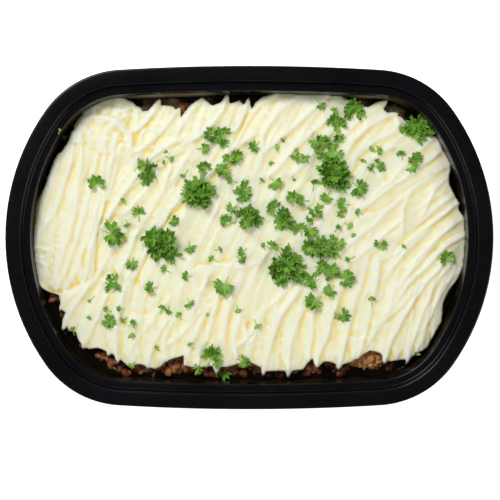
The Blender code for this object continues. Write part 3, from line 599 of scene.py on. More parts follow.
def rib_lines(fan, rng):
    """Each rib of a fan: its path, half widths at head and tail, number, strength, length."""
    _, heads, tails, ribs, bow, _, _, _, _, short, jitter = fan
    lines = []
    for index in range(ribs):
        share = index / (ribs - 1)
        if 0 < index < ribs - 1:
            share += rng.uniform(-RIB_SHIFT, RIB_SHIFT) / (ribs - 1)
        head, tail = on_line(heads, share), on_line(tails, share)
        way = (tail - head) / np.hypot(*(tail - head))
        back = short if index % 2 else 0.0
        tail = tail - way * (back + rng.uniform(*END_SHIFT) * jitter * 0.5)
        head = head + way * rng.uniform(*END_SHIFT) * jitter
        length = np.hypot(*(tail - head))
        across = np.array((-way[1], way[0]))
        bend = bow + rng.uniform(-BOW_SHIFT, BOW_SHIFT)
        path = bent_line(head, (head + tail) / 2 + across * length * bend, tail, RIB_PARTS)
        before, after = max(0.0, share - 1 / (ribs - 1)), min(1.0, share + 1 / (ribs - 1))
        halves = []
        for guide, least in zip((heads, tails), LEAST_WIDTHS):
            apart = on_line(guide, after) - on_line(guide, before)
            step = abs(apart @ across) / ((after - before) * (ribs - 1))
            halves.append(max(step, least) / 2)
        strength = rng.uniform(*(WEAK_RIB if index % 2 else STRONG_RIB))
        lines.append((path, *halves, index, strength, length))
    return lines


def fan_surface(fan, x, y, ridge, rng, order):
    """A fan's height over the dome, and how far inside its edge each point is."""
    group, lift, head_taper, tail_taper = fan[5:9]
    height = np.full(x.shape, OUTSIDE)
    depth = np.full(x.shape, OUTSIDE)
    for path, head_half, tail_half, index, strength, length in rib_lines(fan, rng):
        near = close_to(path, x, y, RIB_MARGIN)
        if not len(near[0]):
            continue
        share, gap, side = nearest(path, x[near], y[near])
        half = head_half * (1 - share) + tail_half * share
        done, left = share * length, (1 - share) * length
        taper_in = grown(done, (RIB_START, head_taper, RIB_BEND))
        taper_out = grown(left, (RIB_START, tail_taper, RIB_BEND))
        inside = half * RIB_FOOT * taper_in * taper_out - gap
        crest = np.where(side > 0, falling(gap, half, RIB_STEEP), falling(gap, half, RIB_GENTLE))
        wave = waving(done, index, (*RIB_WAVE[:2], RIB_WAVE[2] + order))
        level = TILE * ((index % group) / (group - 1) - 0.5)
        sunk = HEAD_SINK * np.clip(1 - done / HEAD_RUN, 0, 1) ** 2
        rise = lift + level + ridge * strength * wave * crest - sunk
        rise = np.where(inside > RIM_SLACK, rise, OUTSIDE)
        height[near] = np.maximum(height[near], rise)
        depth[near] = np.maximum(depth[near], inside)
    return height, depth


def curve_through(start, middle, end, parts=10):
    """Points on the smooth bend that passes through three points."""
    start, middle, end = np.array(start), np.array(middle), np.array(end)
    return bent_line(start, 2 * middle - (start + end) / 2, end, parts)


def stroke_surface(x, y, ridge):
    """Height of the fork strokes, and how far inside their tips each point is."""
    height = np.zeros(x.shape)
    depth = np.full(x.shape, OUTSIDE)
    for number, stroke in enumerate(STROKES):
        hollow, fall, strength = stroke[6:]
        path = curve_through(stroke[0:2], stroke[2:4], stroke[4:6])
        near = close_to(path, x, y, STROKE_MARGIN)
        share, gap, side = nearest(path, x[near], y[near])
        length = np.hypot(*np.diff(path, axis=0).T).sum()
        done, left = share * length, (1 - share) * length
        fade = grown(done, STROKE_HEAD) * grown(left, STROKE_TAIL)
        crest = np.where(side > 0, falling(gap, fall, STROKE_STEEP),
                         falling(gap, hollow, STROKE_GENTLE))
        rise = ridge * strength * waving(done, number, STROKE_WAVE) * fade * crest
        height[near] = np.maximum(height[near], rise)
        foot = TIP_HALF * grown(left, TIP_TAIL) * grown(done, TIP_HEAD)
        depth[near] = np.maximum(depth[near], foot - gap)
    return height, depth


def ledge_surface(x, y):
    """Steps where a stroke lies over the one below it."""
    rise = np.zeros(x.shape)
    for height, reach, line in LEDGES:
        share, gap, side = nearest(np.array(line, float), x, y)
        ends = np.clip(share / LEDGE_ENDS, 0, 1) * np.clip((1 - share) / LEDGE_ENDS, 0, 1)
        lift = np.where(side > 0, -0.5, 0.5) * np.tanh(gap / LEDGE_EDGE)
        rise += height * lift * np.exp(-(gap / reach) ** 2) * ends
    return rise


def torn_surface(x, y):
    """Ragged potato where the fork has torn it."""
    flakes = 0.0
    for height, pitch, seed in FLAKES:
        ragged = np.clip(1 - FLAKE_EDGE * np.abs(noise(x, y, pitch, seed)), 0, 1)
        flakes = flakes + height * ragged ** FLAKE_BEND
    rise = np.zeros(x.shape)
    for place_x, place_y, reach, height in TORN:
        near = np.exp(-((x - place_x) / reach) ** 2 - ((y - place_y) / reach) ** 2)
        rise += height * near * flakes
    return rise


class Potato:
    """The drawn potato on a square grid: heights, depth inside the edge, and the masks for the painted
    shade in its creases and the painted highlight on its crests.
    """

    def __init__(self, ridge):
        self.xs = np.arange(-GRID_X, GRID_X + CELL, CELL)
        self.ys = np.arange(-GRID_Y, GRID_Y + CELL, CELL)
        x, y = self.x, self.y = np.meshgrid(self.xs, self.ys)
        wx = hills(x / SPREAD, x, y, WANDER_X)
        wy = hills(y / SPREAD, x, y, WANDER_Y)
        strokes, tips = stroke_surface(wx, wy, ridge)
        rise = FINE_SHARE * self.fans(wx, wy, ridge) + strokes + ledge_surface(wx, wy)
        rise = rise + hills(0.0, x, y, SWELL) + torn_surface(x, y)
        depth = np.maximum(polygon_depth(wx, wy, BODY) + BODY_GROWTH, tips)
        self.pressed = depth > PRESSED_DEPTH
        soft = blurred(np.clip(depth / EDGE_RUN + 0.5, 0, 1), EDGE_BLUR / CELL)
        rolled = 1 - np.clip((soft - ROLL_START) / ROLL_RUN, 0, 1)
        roll = np.sqrt(np.clip(1 - rolled ** 2, 0, 1))
        dome = MASH_TOP + DOME * (1 - (x / HALF_LENGTH) ** 2 - (y / HALF_WIDTH) ** 2)
        full = dome + blurred(rise, RISE_BLUR / CELL) + hills(0.0, x, y, GRAIN)
        depth = np.minimum(depth, edge_distance(x, y) - WALL_REACH)
        self.depth = blurred(np.clip(depth, -DEPTH_KEPT, DEPTH_KEPT), DEPTH_BLUR)
        self.height = MASH_FLOOR + (full - MASH_FLOOR) * roll
        # Painted shade and painted highlight: what lies below the softened surface is marked as crease
        # for a painted golden shade, what lies above it as crest for a painted whiter highlight.
        relief = full - blurred(full, RELIEF_BLUR / CELL)
        crease_shaded = np.clip(-relief / CREASE_SHADE_DEPTH, 0, 1) ** CREASE_SHADE_BEND
        self.crease_shade = blurred(crease_shaded, CREASE_SHADE_BLUR)
        self.crest = np.clip(relief / CREST_HIGHLIGHT_HEIGHT, 0, 1)

    def fans(self, x, y, ridge):
        """The fine ribs of every fan, each laid over the ones before it."""
        rng = np.random.default_rng(FIELD_SEED)
        under = np.full(x.shape, UNDER_FANS)
        for order, fan in enumerate(FANS):
            rise, depth = fan_surface(fan, x, y, ridge, rng, order)
            under = np.where((rise > under) & (depth > RIM_SLACK), rise, under)
        return under

    def at(self, field, x, y):
        """A field read between the grid's points."""
        u = np.clip((np.asarray(x) - self.xs[0]) / CELL, 0, len(self.xs) - 1.001)
        v = np.clip((np.asarray(y) - self.ys[0]) / CELL, 0, len(self.ys) - 1.001)
        i, j = np.floor(u).astype(int), np.floor(v).astype(int)
        fu, fv = u - i, v - j
        low = field[j, i] * (1 - fu) + field[j, i + 1] * fu
        high = field[j + 1, i] * (1 - fu) + field[j + 1, i + 1] * fu
        return low * (1 - fv) + high * fv

    def top(self, x, y, beyond):
        """The potato's height, or the level beyond its edge."""
        inside = self.at(self.depth, x, y) > 0
        return np.where(inside, self.at(self.height, x, y), beyond)


# ---- mesh builders -------------------------------------------------------------

def add_piece(name, verts, faces, finish, smooth=True, marks=None):
    """A named object in the scene from vertices in millimetres."""
    mesh = bpy.data.meshes.new(name)
    mesh.from_pydata([tuple(MM * c for c in v) for v in verts], [], faces)
    for mark, values in (marks or {}).items():
        layer = mesh.attributes.new(mark, "FLOAT", "POINT")
        layer.data.foreach_set("value", np.asarray(values, dtype=np.float32))
    if smooth:
        mesh.shade_smooth()
    mesh.materials.append(finish)
    piece = bpy.data.objects.new(name, mesh)
    bpy.context.scene.collection.objects.link(piece)
    return piece


def ride_as(piece, slot, *nodes):
    """The piece rides on the pie and stands for CAD nodes, whose parts it hides; the slot argument is not
    used.
    """
    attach(piece, "root")
    if nodes:
        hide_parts(*nodes)


def fresh(name):
    """Take away an earlier piece of the same name, so a button can be pressed twice."""
    old = bpy.data.objects.get(name)
    if old is not None:
        bpy.data.objects.remove(old, do_unlink=True)


def rounded_profile(bends, steps):
    """A line of bends with each one rounded to its own radius."""
    points = [bends[0][:2]]
    for before, bend, after in zip(bends, bends[1:], bends[2:]):
        corner = np.array(bend[:2])
        way_in = np.array(before[:2]) - corner
        way_out = np.array(after[:2]) - corner
        way_in = way_in / np.hypot(*way_in)
        way_out = way_out / np.hypot(*way_out)
        half_angle = math.acos(np.clip(way_in @ way_out, -1, 1)) / 2
        run = bend[2] / math.tan(half_angle)
        start, end = corner + way_in * run, corner + way_out * run
        for step in range(steps + 1):
            t = step / steps
            points.append(tuple((1 - t) ** 2 * start + 2 * t * (1 - t) * corner + t * t * end))
    points.append(bends[-1][:2])
    return points


def ring_faces(rings, count):
    """Quads between rings of count points each, laid one after another."""
    faces = []
    for ring in range(rings - 1):
        for index in range(count):
            after = (index + 1) % count
            a, b = ring * count + index, ring * count + after
            faces.append((a, b, b + count, a + count))
    return faces


def relief_piece(name, potato, finish, floor):
    """The potato's grid as a closed mesh, its edge drawn to the true outline."""
    depth = potato.depth
    inside = depth > 0
    around = np.zeros_like(inside)
    for shift_y in (-1, 0, 1):
        for shift_x in (-1, 0, 1):
            around |= np.roll(np.roll(inside, shift_y, axis=0), shift_x, axis=1)
    used = inside | around
    slope_y, slope_x = np.gradient(depth, CELL)
    steep = slope_x ** 2 + slope_y ** 2 + FLAT_GUARD
    move = np.where(inside, 0.0, np.clip(-depth, 0, 2 * CELL) / steep)
    x = potato.x + slope_x * move
    y = potato.y + slope_y * move
    z = np.where(inside, potato.height, np.where(potato.pressed, PRESSED_FOOT, floor))
    number = np.full(depth.shape, -1)
    number[used] = np.arange(used.sum())
    a, b = number[:-1, :-1], number[:-1, 1:]
    c, d = number[1:, 1:], number[1:, :-1]
    some = inside[:-1, :-1] | inside[:-1, 1:] | inside[1:, 1:] | inside[1:, :-1]
    whole = (a >= 0) & (b >= 0) & (c >= 0) & (d >= 0) & some
    faces = np.stack((a[whole], b[whole], c[whole], d[whole]), axis=1)
    verts = np.stack((x[used], y[used], z[used]), axis=1)
    keep = np.unique(faces)
    renumber = np.full(len(verts), -1)
    renumber[keep] = np.arange(len(keep))
    marks = {
        # The crease mark carries painted shade and the crest mark a painted highlight into the material.
        "crease_shade": potato.crease_shade[used][keep], "crest": potato.crest[used][keep],
        "edge": np.clip(1 - depth[used][keep] / EDGE_WIDTH, 0, 1),
    }
    piece = add_piece(name, verts[keep], renumber[faces].tolist(), finish, marks=marks)
    close_under(piece.data)
    return piece


def close_under(mesh):
    """Close a mesh across its open edges, so that it is a solid body."""
    bm = bmesh.new()
    bm.from_mesh(mesh)
    rim = [edge for edge in bm.edges if edge.is_boundary]
    bmesh.ops.edgeloop_fill(bm, edges=rim)
    bmesh.ops.triangulate(bm, faces=[face for face in bm.faces if len(face.verts) > 4])
    bmesh.ops.recalc_face_normals(bm, faces=bm.faces)
    bm.to_mesh(mesh)
    bm.free()


class Heap:
    """Gathers many small meshes into one, with a tint for each."""

    def __init__(self):
        self.verts, self.faces, self.tints = [], [], []
        self.count = 0

    def add(self, verts, faces, tint):
        self.verts.append(verts)
        self.faces.extend(tuple(int(v) + self.count for v in face) for face in faces)
        self.tints.append(np.broadcast_to(tint, (len(verts),)))
        self.count += len(verts)

    def piece(self, name, finish):
        return add_piece(name, np.concatenate(self.verts), self.faces, finish,
                         marks={"tint": np.concatenate(self.tints)})


# ---- materials -------------------------------------------------------------------

def node(tree, kind, **inputs):
    """A shader node with some of its inputs set by name."""
    made = tree.nodes.new(kind)
    for name, value in inputs.items():
        made.inputs[name.replace("_", " ")].default_value = value
    return made


def begin_group(name, takes, gives):
    """A node group with its sockets: what it takes, with a default each, and gives."""
    group = bpy.data.node_groups.new(name, "ShaderNodeTree")
    for label, kind, value in takes:
        socket = group.interface.new_socket(label, in_out="INPUT", socket_type=kind)
        socket.default_value = value
    for label, kind in gives:
        group.interface.new_socket(label, in_out="OUTPUT", socket_type=kind)
    return group, group.nodes.new("NodeGroupInput"), group.nodes.new("NodeGroupOutput")


def two_noises(group, give, share, *textures):
    """Two noises, each at the scale of its own socket, mixed by the share socket."""
    place = group.nodes.new("ShaderNodeTexCoord")
    both = group.nodes.new("ShaderNodeMix")
    group.links.new(give.outputs[share], both.inputs["Factor"])
    for side, (scale, detail, roughness) in zip("AB", textures):
        made = node(group, "ShaderNodeTexNoise", Detail=detail, Roughness=roughness)
        group.links.new(place.outputs["Object"], made.inputs["Vector"])
        group.links.new(give.outputs[scale], made.inputs["Scale"])
        group.links.new(made.outputs["Fac"], both.inputs[side])
    return both.outputs["Result"]


def mottle_group():
    """Patchy blend of two colours, large patches and fine specks together."""
    name = "Mottle"
    if name in bpy.data.node_groups:
        return bpy.data.node_groups[name]
    group, give, take = begin_group(name, (
        ("Light", "NodeSocketColor", (1, 1, 1, 1)), ("Dark", "NodeSocketColor", (0, 0, 0, 1)),
        ("Patch Scale", "NodeSocketFloat", 60.0), ("Speck Scale", "NodeSocketFloat", 900.0),
        ("Speck Share", "NodeSocketFloat", 0.3)),
        (("Color", "NodeSocketColor"), ("Value", "NodeSocketFloat")))
    both = two_noises(group, give, "Speck Share", ("Patch Scale", 4.0, 0.6),
                      ("Speck Scale", 2.0, 0.5))
    ramp = node(group, "ShaderNodeMapRange", From_Min=0.36, From_Max=0.64)
    group.links.new(both, ramp.inputs["Value"])
    blend = mix_colour(group, ramp.outputs["Result"], give.outputs["Light"],
                       give.outputs["Dark"])
    group.links.new(blend, take.inputs["Color"])
    group.links.new(ramp.outputs["Result"], take.inputs["Value"])
    return group


def grain_group():
    """Height of a fine uneven surface: grains and softer swellings."""
    name = "Grain"
    if name in bpy.data.node_groups:
        return bpy.data.node_groups[name]
    group, give, take = begin_group(name, (
        ("Grain Scale", "NodeSocketFloat", 1500.0), ("Swell Scale", "NodeSocketFloat", 300.0),
        ("Swell Share", "NodeSocketFloat", 0.5)), (("Height", "NodeSocketFloat"),))
    both = two_noises(group, give, "Swell Share", ("Grain Scale", 3.0, 0.6),
                      ("Swell Scale", 2.0, 0.5))
    group.links.new(both, take.inputs["Height"])
    return group


def blank(name):
    """A new material with its tree, its Principled shader and its link function."""
    old = bpy.data.materials.get(name)
    if old is not None:
        bpy.data.materials.remove(old)
    made = bpy.data.materials.new(name)
    made.use_nodes = True
    tree = made.node_tree
    return made, tree, tree.nodes["Principled BSDF"], tree.links.new


def use_group(tree, group, **inputs):
    made = tree.nodes.new("ShaderNodeGroup")
    made.node_tree = group
    for name, value in inputs.items():
        made.inputs[name.replace("_", " ")].default_value = value
    return made


def mark_value(tree, mark):
    made = tree.nodes.new("ShaderNodeAttribute")
    made.attribute_name = mark
    return made.outputs["Fac"]


def mix_colour(tree, factor, first, second):
    """A colour blend; each argument is a socket or a value."""
    made = tree.nodes.new("ShaderNodeMix")
    made.data_type = "RGBA"
    for socket, value in ((made.inputs[0], factor), (made.inputs[6], first),
                          (made.inputs[7], second)):
        if isinstance(value, bpy.types.NodeSocket):
            tree.links.new(value, socket)
        else:
            socket.default_value = value
    return made.outputs[2]


def product(tree, first, second):
    """Two values multiplied; each is a socket or a number."""
    made = tree.nodes.new("ShaderNodeMath")
    made.operation = "MULTIPLY"
    for socket, value in zip(made.inputs, (first, second)):
        if isinstance(value, bpy.types.NodeSocket):
            tree.links.new(value, socket)
        else:
            socket.default_value = value
    return made.outputs[0]


def mottled(tree, light, dark, patch, speck, share):
    """Two colours mixed in patches and specks."""
    return use_group(tree, mottle_group(), Light=solid(light), Dark=solid(dark),
                     Patch_Scale=patch, Speck_Scale=speck, Speck_Share=share)


def roughen(tree, shader, grain, swell, share, strength, distance):
    """Fine unevenness over the whole surface."""
    height = use_group(tree, grain_group(), Grain_Scale=grain, Swell_Scale=swell,
                       Swell_Share=share)
    bump = node(tree, "ShaderNodeBump", Strength=strength, Distance=distance)
    tree.links.new(height.outputs["Height"], bump.inputs["Height"])
    tree.links.new(bump.outputs["Normal"], shader.inputs["Normal"])


def set_levels(shader, **levels):
    """Constant levels on the shader's own sockets."""
    for name, value in levels.items():
        shader.inputs[name.replace("_", " ")].default_value = value


def solid(colour):
    return (*colour, 1.0)


def potato_material(looks):
    made, tree, shader, link = blank("mashed_potato")
    mottle = mottled(tree, looks.potato, looks.potato_deep, 45.0, 700.0, 0.35)
    # Painted shade: the crease mark tints the grooves towards a golden shade colour.
    crease_shaded = mix_colour(tree, mark_value(tree, "crease_shade"), mottle.outputs["Color"],
                         solid(looks.crease_shade))
    # Painted highlight: the crest mark whitens the ridges as if lit.
    crest_highlighted = mix_colour(tree, mark_value(tree, "crest"), crease_shaded, solid(looks.crest))
    edge = product(tree, mark_value(tree, "edge"), 0.35)
    link(mix_colour(tree, edge, crest_highlighted, solid(looks.edge)), shader.inputs["Base Color"])
    set_levels(shader, Roughness=0.42, Specular_IOR_Level=0.4, Subsurface_Weight=0.6,
               Subsurface_Radius=(0.0040, 0.0030, 0.0014), Subsurface_Scale=1.0)
    roughen(tree, shader, 1300.0, 420.0, 0.55, 0.35, 0.0006)
    return made


def inner_face(tree, place):
    """1 on faces that look in to the tray's middle, 0 on those that look out."""
    facing = tree.nodes.new("ShaderNodeVectorMath")
    facing.operation = "DOT_PRODUCT"
    tree.links.new(place.outputs["Normal"], facing.inputs[0])
    tree.links.new(place.outputs["Object"], facing.inputs[1])
    inner = node(tree, "ShaderNodeMapRange", From_Min=0.0, From_Max=-0.01)
    tree.links.new(facing.outputs["Value"], inner.inputs["Value"])
    return inner.outputs["Result"]


def tray_material(looks):
    made, tree, shader, link = blank("tray_plastic")
    mottle = mottled(tree, looks.tray, looks.tray_worn, 30.0, 500.0, 0.3)
    place = tree.nodes.new("ShaderNodeTexCoord")
    dried = node(tree, "ShaderNodeTexNoise", Scale=120.0, Detail=4.0, Roughness=0.65)
    link(place.outputs["Object"], dried.inputs["Vector"])
    share = node(tree, "ShaderNodeMapRange", From_Min=0.40, From_Max=0.62)
    link(dried.outputs["Fac"], share.inputs["Value"])
    inner = inner_face(tree, place)
    spots = product(tree, share.outputs["Result"], mark_value(tree, "stain"))
    stained = mix_colour(tree, product(tree, spots, inner), mottle.outputs["Color"],
                         solid(looks.stain))
    smeared = product(tree, mark_value(tree, "smear"), inner)
    link(mix_colour(tree, smeared, stained, solid(looks.smear)), shader.inputs["Base Color"])
    rough = node(tree, "ShaderNodeMapRange", To_Min=0.17, To_Max=0.24)
    link(mottle.outputs["Value"], rough.inputs["Value"])
    link(rough.outputs["Result"], shader.inputs["Roughness"])
    set_levels(shader, Specular_IOR_Level=0.22)
    roughen(tree, shader, 2500.0, 90.0, 0.7, 0.08, 0.0004)
    return made


def gravy_material(looks):
    made, tree, shader, link = blank("gravy")
    mottle = mottled(tree, looks.gravy, looks.gravy_fat, 150.0, 1500.0, 0.4)
    link(mottle.outputs["Color"], shader.inputs["Base Color"])
    set_levels(shader, Roughness=0.07, Specular_IOR_Level=0.18)
    roughen(tree, shader, 900.0, 260.0, 0.75, 0.18, 0.0005)
    return made


def mince_material(looks):
    made, tree, shader, link = blank("mince")
    mottle = mottled(tree, looks.mince, looks.mince_dark, 350.0, 1500.0, 0.7)
    link(mix_colour(tree, mark_value(tree, "tint"), mottle.outputs["Color"],
                    solid(looks.mince_pale)), shader.inputs["Base Color"])
    set_levels(shader, Roughness=0.42, Specular_IOR_Level=0.3, Subsurface_Weight=0.1,
               Subsurface_Radius=(0.0010, 0.0004, 0.0002), Coat_Weight=0.12,
               Coat_Roughness=0.2)
    roughen(tree, shader, 1800.0, 700.0, 0.5, 0.9, 0.0009)
    return made


def parsley_material(looks):
    made, tree, shader, link = blank("parsley")
    mottle = mottled(tree, looks.leaf, looks.leaf_dark, 260.0, 1600.0, 0.3)
    link(mix_colour(tree, mark_value(tree, "tint"), mottle.outputs["Color"],
                    solid(looks.leaf_pale)), shader.inputs["Base Color"])
    set_levels(shader, Roughness=0.4, Specular_IOR_Level=0.4, Subsurface_Weight=0.15,
               Subsurface_Radius=(0.0004, 0.0010, 0.0002))
    roughen(tree, shader, 2600.0, 900.0, 0.6, 0.5, 0.0003)
    return made


def film_material(looks):
    made, tree, shader, link = blank("sauce_film")
    mottle = mottled(tree, looks.smear, looks.mince_dark, 120.0, 900.0, 0.3)
    link(mottle.outputs["Color"], shader.inputs["Base Color"])
    set_levels(shader, Roughness=0.25, Specular_IOR_Level=0.35, Subsurface_Weight=0.2,
               Subsurface_Radius=(0.0010, 0.0008, 0.0004))
    roughen(tree, shader, 1500.0, 420.0, 0.6, 0.4, 0.0005)
    return made


def floor_material(looks):
    made, tree, shader, link = blank("studio_floor")
    mottle = mottled(tree, looks.floor, looks.floor, 3.0, 20.0, 0.2)
    link(mottle.outputs["Color"], shader.inputs["Base Color"])
    link(mottle.outputs["Color"], shader.inputs["Emission Color"])
    set_levels(shader, Emission_Strength=0.9, Roughness=0.9, Specular_IOR_Level=0.0)
    return made


# ---- what the maker may change ------------------------------------------------------

class PieSizes(bpy.types.PropertyGroup):
    ridge: bpy.props.FloatProperty(
        name="Ridge height", description="Height of a fork ridge over its groove",
        default=1.05 * MM, min=0.0, max=3.0 * MM, unit="LENGTH")
    gravy_level: bpy.props.FloatProperty(
        name="Gravy level", description="Height of the gravy over the table",
        default=22.0 * MM, min=15.0 * MM, max=24.0 * MM, unit="LENGTH")
    sheet: bpy.props.FloatProperty(
        name="Tray sheet", description="Thickness of the tray's plastic",
        default=0.9 * MM, min=0.3 * MM, max=1.0 * MM, unit="LENGTH")
    crumb: bpy.props.FloatProperty(
        name="Crumb size", description="Mean width of a crumb of mince",
        default=3.8 * MM, min=1.0 * MM, max=6.0 * MM, unit="LENGTH")


def colour_choice(label, about, value):
    return bpy.props.FloatVectorProperty(name=label, description=about, subtype="COLOR",
                                         size=3, default=value, min=0.0, max=1.0)


class PieLooks(bpy.types.PropertyGroup):
    potato: colour_choice("Potato", "Mashed potato in the light", (0.90, 0.89, 0.71))
    potato_deep: colour_choice("Potato patches", "Yellower patches", (0.89, 0.875, 0.62))
    # Painted shade: the crease colour stands for the golden shade deep in the fork grooves.
    crease_shade: colour_choice("Crease", "Potato deep in a groove", (0.93, 0.73, 0.20))
    # Painted highlight: the crest colour stands for the whiter light along the ridges.
    crest: colour_choice("Crest", "Potato along a ridge", (0.89, 0.90, 0.77))
    edge: colour_choice("Edge", "Potato at the outer edge", (0.80, 0.80, 0.70))
    tray: colour_choice("Tray", "Black plastic", (0.0022, 0.0022, 0.0034))
    tray_worn: colour_choice("Tray wear", "Rubbed plastic", (0.004, 0.004, 0.006))
    stain: colour_choice("Wall stain", "Gravy dried on the wall", (0.030, 0.022, 0.008))
    smear: colour_choice("Smear", "Thin potato and gravy wiped together", (0.36, 0.31, 0.19))
    gravy: colour_choice("Gravy", "Thick dark gravy", (0.0020, 0.0011, 0.0006))
    gravy_fat: colour_choice("Gravy fat", "Thinner, browner gravy", (0.006, 0.0030, 0.0014))
    mince: colour_choice("Mince", "Cooked brown mince", (0.32, 0.088, 0.022))
    mince_dark: colour_choice("Mince dark", "Gravy soaked mince", (0.07, 0.018, 0.006))
    mince_pale: colour_choice("Mince pale", "Fatty and browned crumbs", (0.74, 0.35, 0.13))
    leaf: colour_choice("Leaf", "Parsley in the light", (0.20, 0.48, 0.035))
    leaf_dark: colour_choice("Leaf dark", "Parsley in its folds", (0.035, 0.16, 0.008))
    leaf_pale: colour_choice("Leaf pale", "Stems and leaf undersides", (0.44, 0.68, 0.12))
    floor: colour_choice("Floor", "Plain studio floor", (0.95, 0.95, 0.95))


# ---- the pieces ------------------------------------------------------------------------

def wall_at(height):
    """The inner wall's inset from the outline at a height."""
    return WALL_FOOT - (height - FLOOR_TOP) * WALL_DRAFT


def profile_rows(profile):
    """A profile's points, with the long wall cut into shorter rows."""
    rows = []
    for (inset, height), (next_inset, next_height) in zip(profile, profile[1:]):
        parts = WALL_ROWS if height - next_height > LONG_DROP else 1
        for part in range(parts):
            t = part / parts
            rows.append((inset + (next_inset - inset) * t, height + (next_height - height) * t))
    return rows + [profile[-1]]


def smear_at(x, y, height):
    """How thick a smear lies on the wall at a point."""
    if not SMEAR_HEIGHTS[0] < height < SMEAR_HEIGHTS[1]:
        return 0.0
    near = [math.exp(-((x - sx) / reach) ** 2 - ((y - sy) / reach) ** 2)
            for sx, sy, reach in WALL_SMEARS]
    return SMEAR_SHARE * min(1.0, sum(near))


def build_tray(sizes, looks):
    fresh("tray_shell")
    rows = profile_rows(rounded_profile(TRAY_BENDS, BEND_STEPS))
    verts, stain, smear = [], [], []
    for inset, height in rows:
        ring = outline(inset)
        on_wall = inset > WALL_INSET
        verts.extend((x, y, height) for x, y in ring)
        smear.extend(smear_at(x, y, height) if on_wall else 0.0 for x, y in ring)
        soiled = np.clip((height - STAIN_FOOT) / STAIN_IN, 0, 1)
        soiled *= np.clip((STAIN_HEAD - height) / STAIN_OUT, 0, 1)
        stain.extend([soiled if on_wall else 0.0] * len(ring))
    count = len(ring)
    faces = ring_faces(len(rows), count)
    faces.append(tuple((len(rows) - 1) * count + k for k in range(count)))
    piece = add_piece("tray_shell", verts, faces, tray_material(looks),
                      marks={"stain": stain, "smear": smear})
    shell = piece.modifiers.new("sheet", "SOLIDIFY")
    shell.thickness = sizes.sheet
    shell.offset = -1.0
    shell.use_even_offset = True
    ride_as(piece, "tray", "tray")


def build_gravy(sizes, looks):
    fresh("gravy_pool")
    level = sizes.gravy_level / MM
    edge = wall_at(level) + POOL_OVERLAP[1]
    profile = [(wall_at(POOL_FLOOR) + POOL_OVERLAP[0], POOL_FLOOR)]
    profile += [(edge + run, level + climb) for run, climb in MENISCUS]
    profile += [(edge + run, level) for run in POOL_RUNS]
    profile.append((edge + POOL_RUNS[-1], POOL_FLOOR))
    rise, pitch, seed = POOL_WAVE
    verts = []
    for inset, height in profile:
        for x, y in outline(inset):
            wave = 0.0
            if height == level:
                wave = rise * float(noise(np.array(x), np.array(y), pitch, seed))
            verts.append((x, y, height + wave))
    count = len(outline(0.0))
    faces = ring_faces(len(profile), count)
    last = (len(profile) - 1) * count
    for index in range(count):
        after = (index + 1) % count
        faces.append((last + index, last + after, after, index))
    piece = add_piece("gravy_pool", verts, faces, gravy_material(looks))
    ride_as(piece, "gravy", "gravy")


def ball(rings):
    """A unit ball's points and triangles."""
    bm = bmesh.new()
    bmesh.ops.create_icosphere(bm, subdivisions=rings, radius=1.0)
    points = np.array([vert.co[:] for vert in bm.verts])
    faces = [tuple(vert.index for vert in face.verts) for face in bm.faces]
    bm.free()
    return points, faces


def turned(rng):
    """A random turn as a 3 by 3 matrix."""
    turn = Matrix.Rotation(rng.uniform(0, 2 * math.pi), 3, "Z")
    turn = turn @ Matrix.Rotation(rng.uniform(0, math.pi), 3, "X")
    return np.array(turn @ Matrix.Rotation(rng.uniform(0, 2 * math.pi), 3, "Z"))


def crumb(points, width, rng):
    """One lumpy crumb about a width across."""
    swell = np.ones(len(points))
    for pitch, size in LUMPS:
        for _ in range(LUMP_WAVES):
            way = rng.normal(size=3)
            way *= pitch / np.linalg.norm(way)
            swell += size * np.sin(points @ way + rng.uniform(0, 2 * math.pi))
    flat = np.array((1.0, *(rng.uniform(*limits) for limits in CRUMB_FLAT)))
    shape = points * swell[:, None] * flat
    return (shape @ turned(rng).T) * width / 2


def mince_core(finish):
    """The body of the mince under its crumbs."""
    verts = [(x, y, height) for inset, height in CORE_ROWS for x, y in outline(inset)]
    count = len(outline(0.0))
    faces = ring_faces(len(CORE_ROWS), count)
    faces.append(tuple(reversed(range(count))))
    faces.append(tuple((len(CORE_ROWS) - 1) * count + k for k in range(count)))
    return add_piece("mince_core", verts, faces, finish, marks={"tint": [0.0] * len(verts)})


def heap_crumbs(heap, unit, level, mean_width, rng):
    """Crumbs in the heaps that show past the potato."""
    points, tris = unit
    for heap_x, heap_y, reach, count, pale in CRUMB_HEAPS:
        for _ in range(count):
            angle, away = rng.uniform(0, 2 * math.pi), reach * math.sqrt(rng.uniform(0, 1))
            x = heap_x + away * math.cos(angle) * HEAP_LONG
            y = heap_y + away * math.sin(angle) * HEAP_SHORT
            width = mean_width * rng.uniform(*HEAP_WIDTHS)
            clear = wall_at(level) + HEAP_CLEAR + width / 2
            if edge_distance(np.array(x), np.array(y)) < clear:
                continue
            height = level + rng.uniform(*HEAP_LIFT) * (1 - away / reach * HEAP_FALL)
            heap.add(crumb(points, width, rng) + np.array((x, y, height)), tris,
                     np.clip(pale + rng.uniform(*HEAP_TINT), 0, 1))


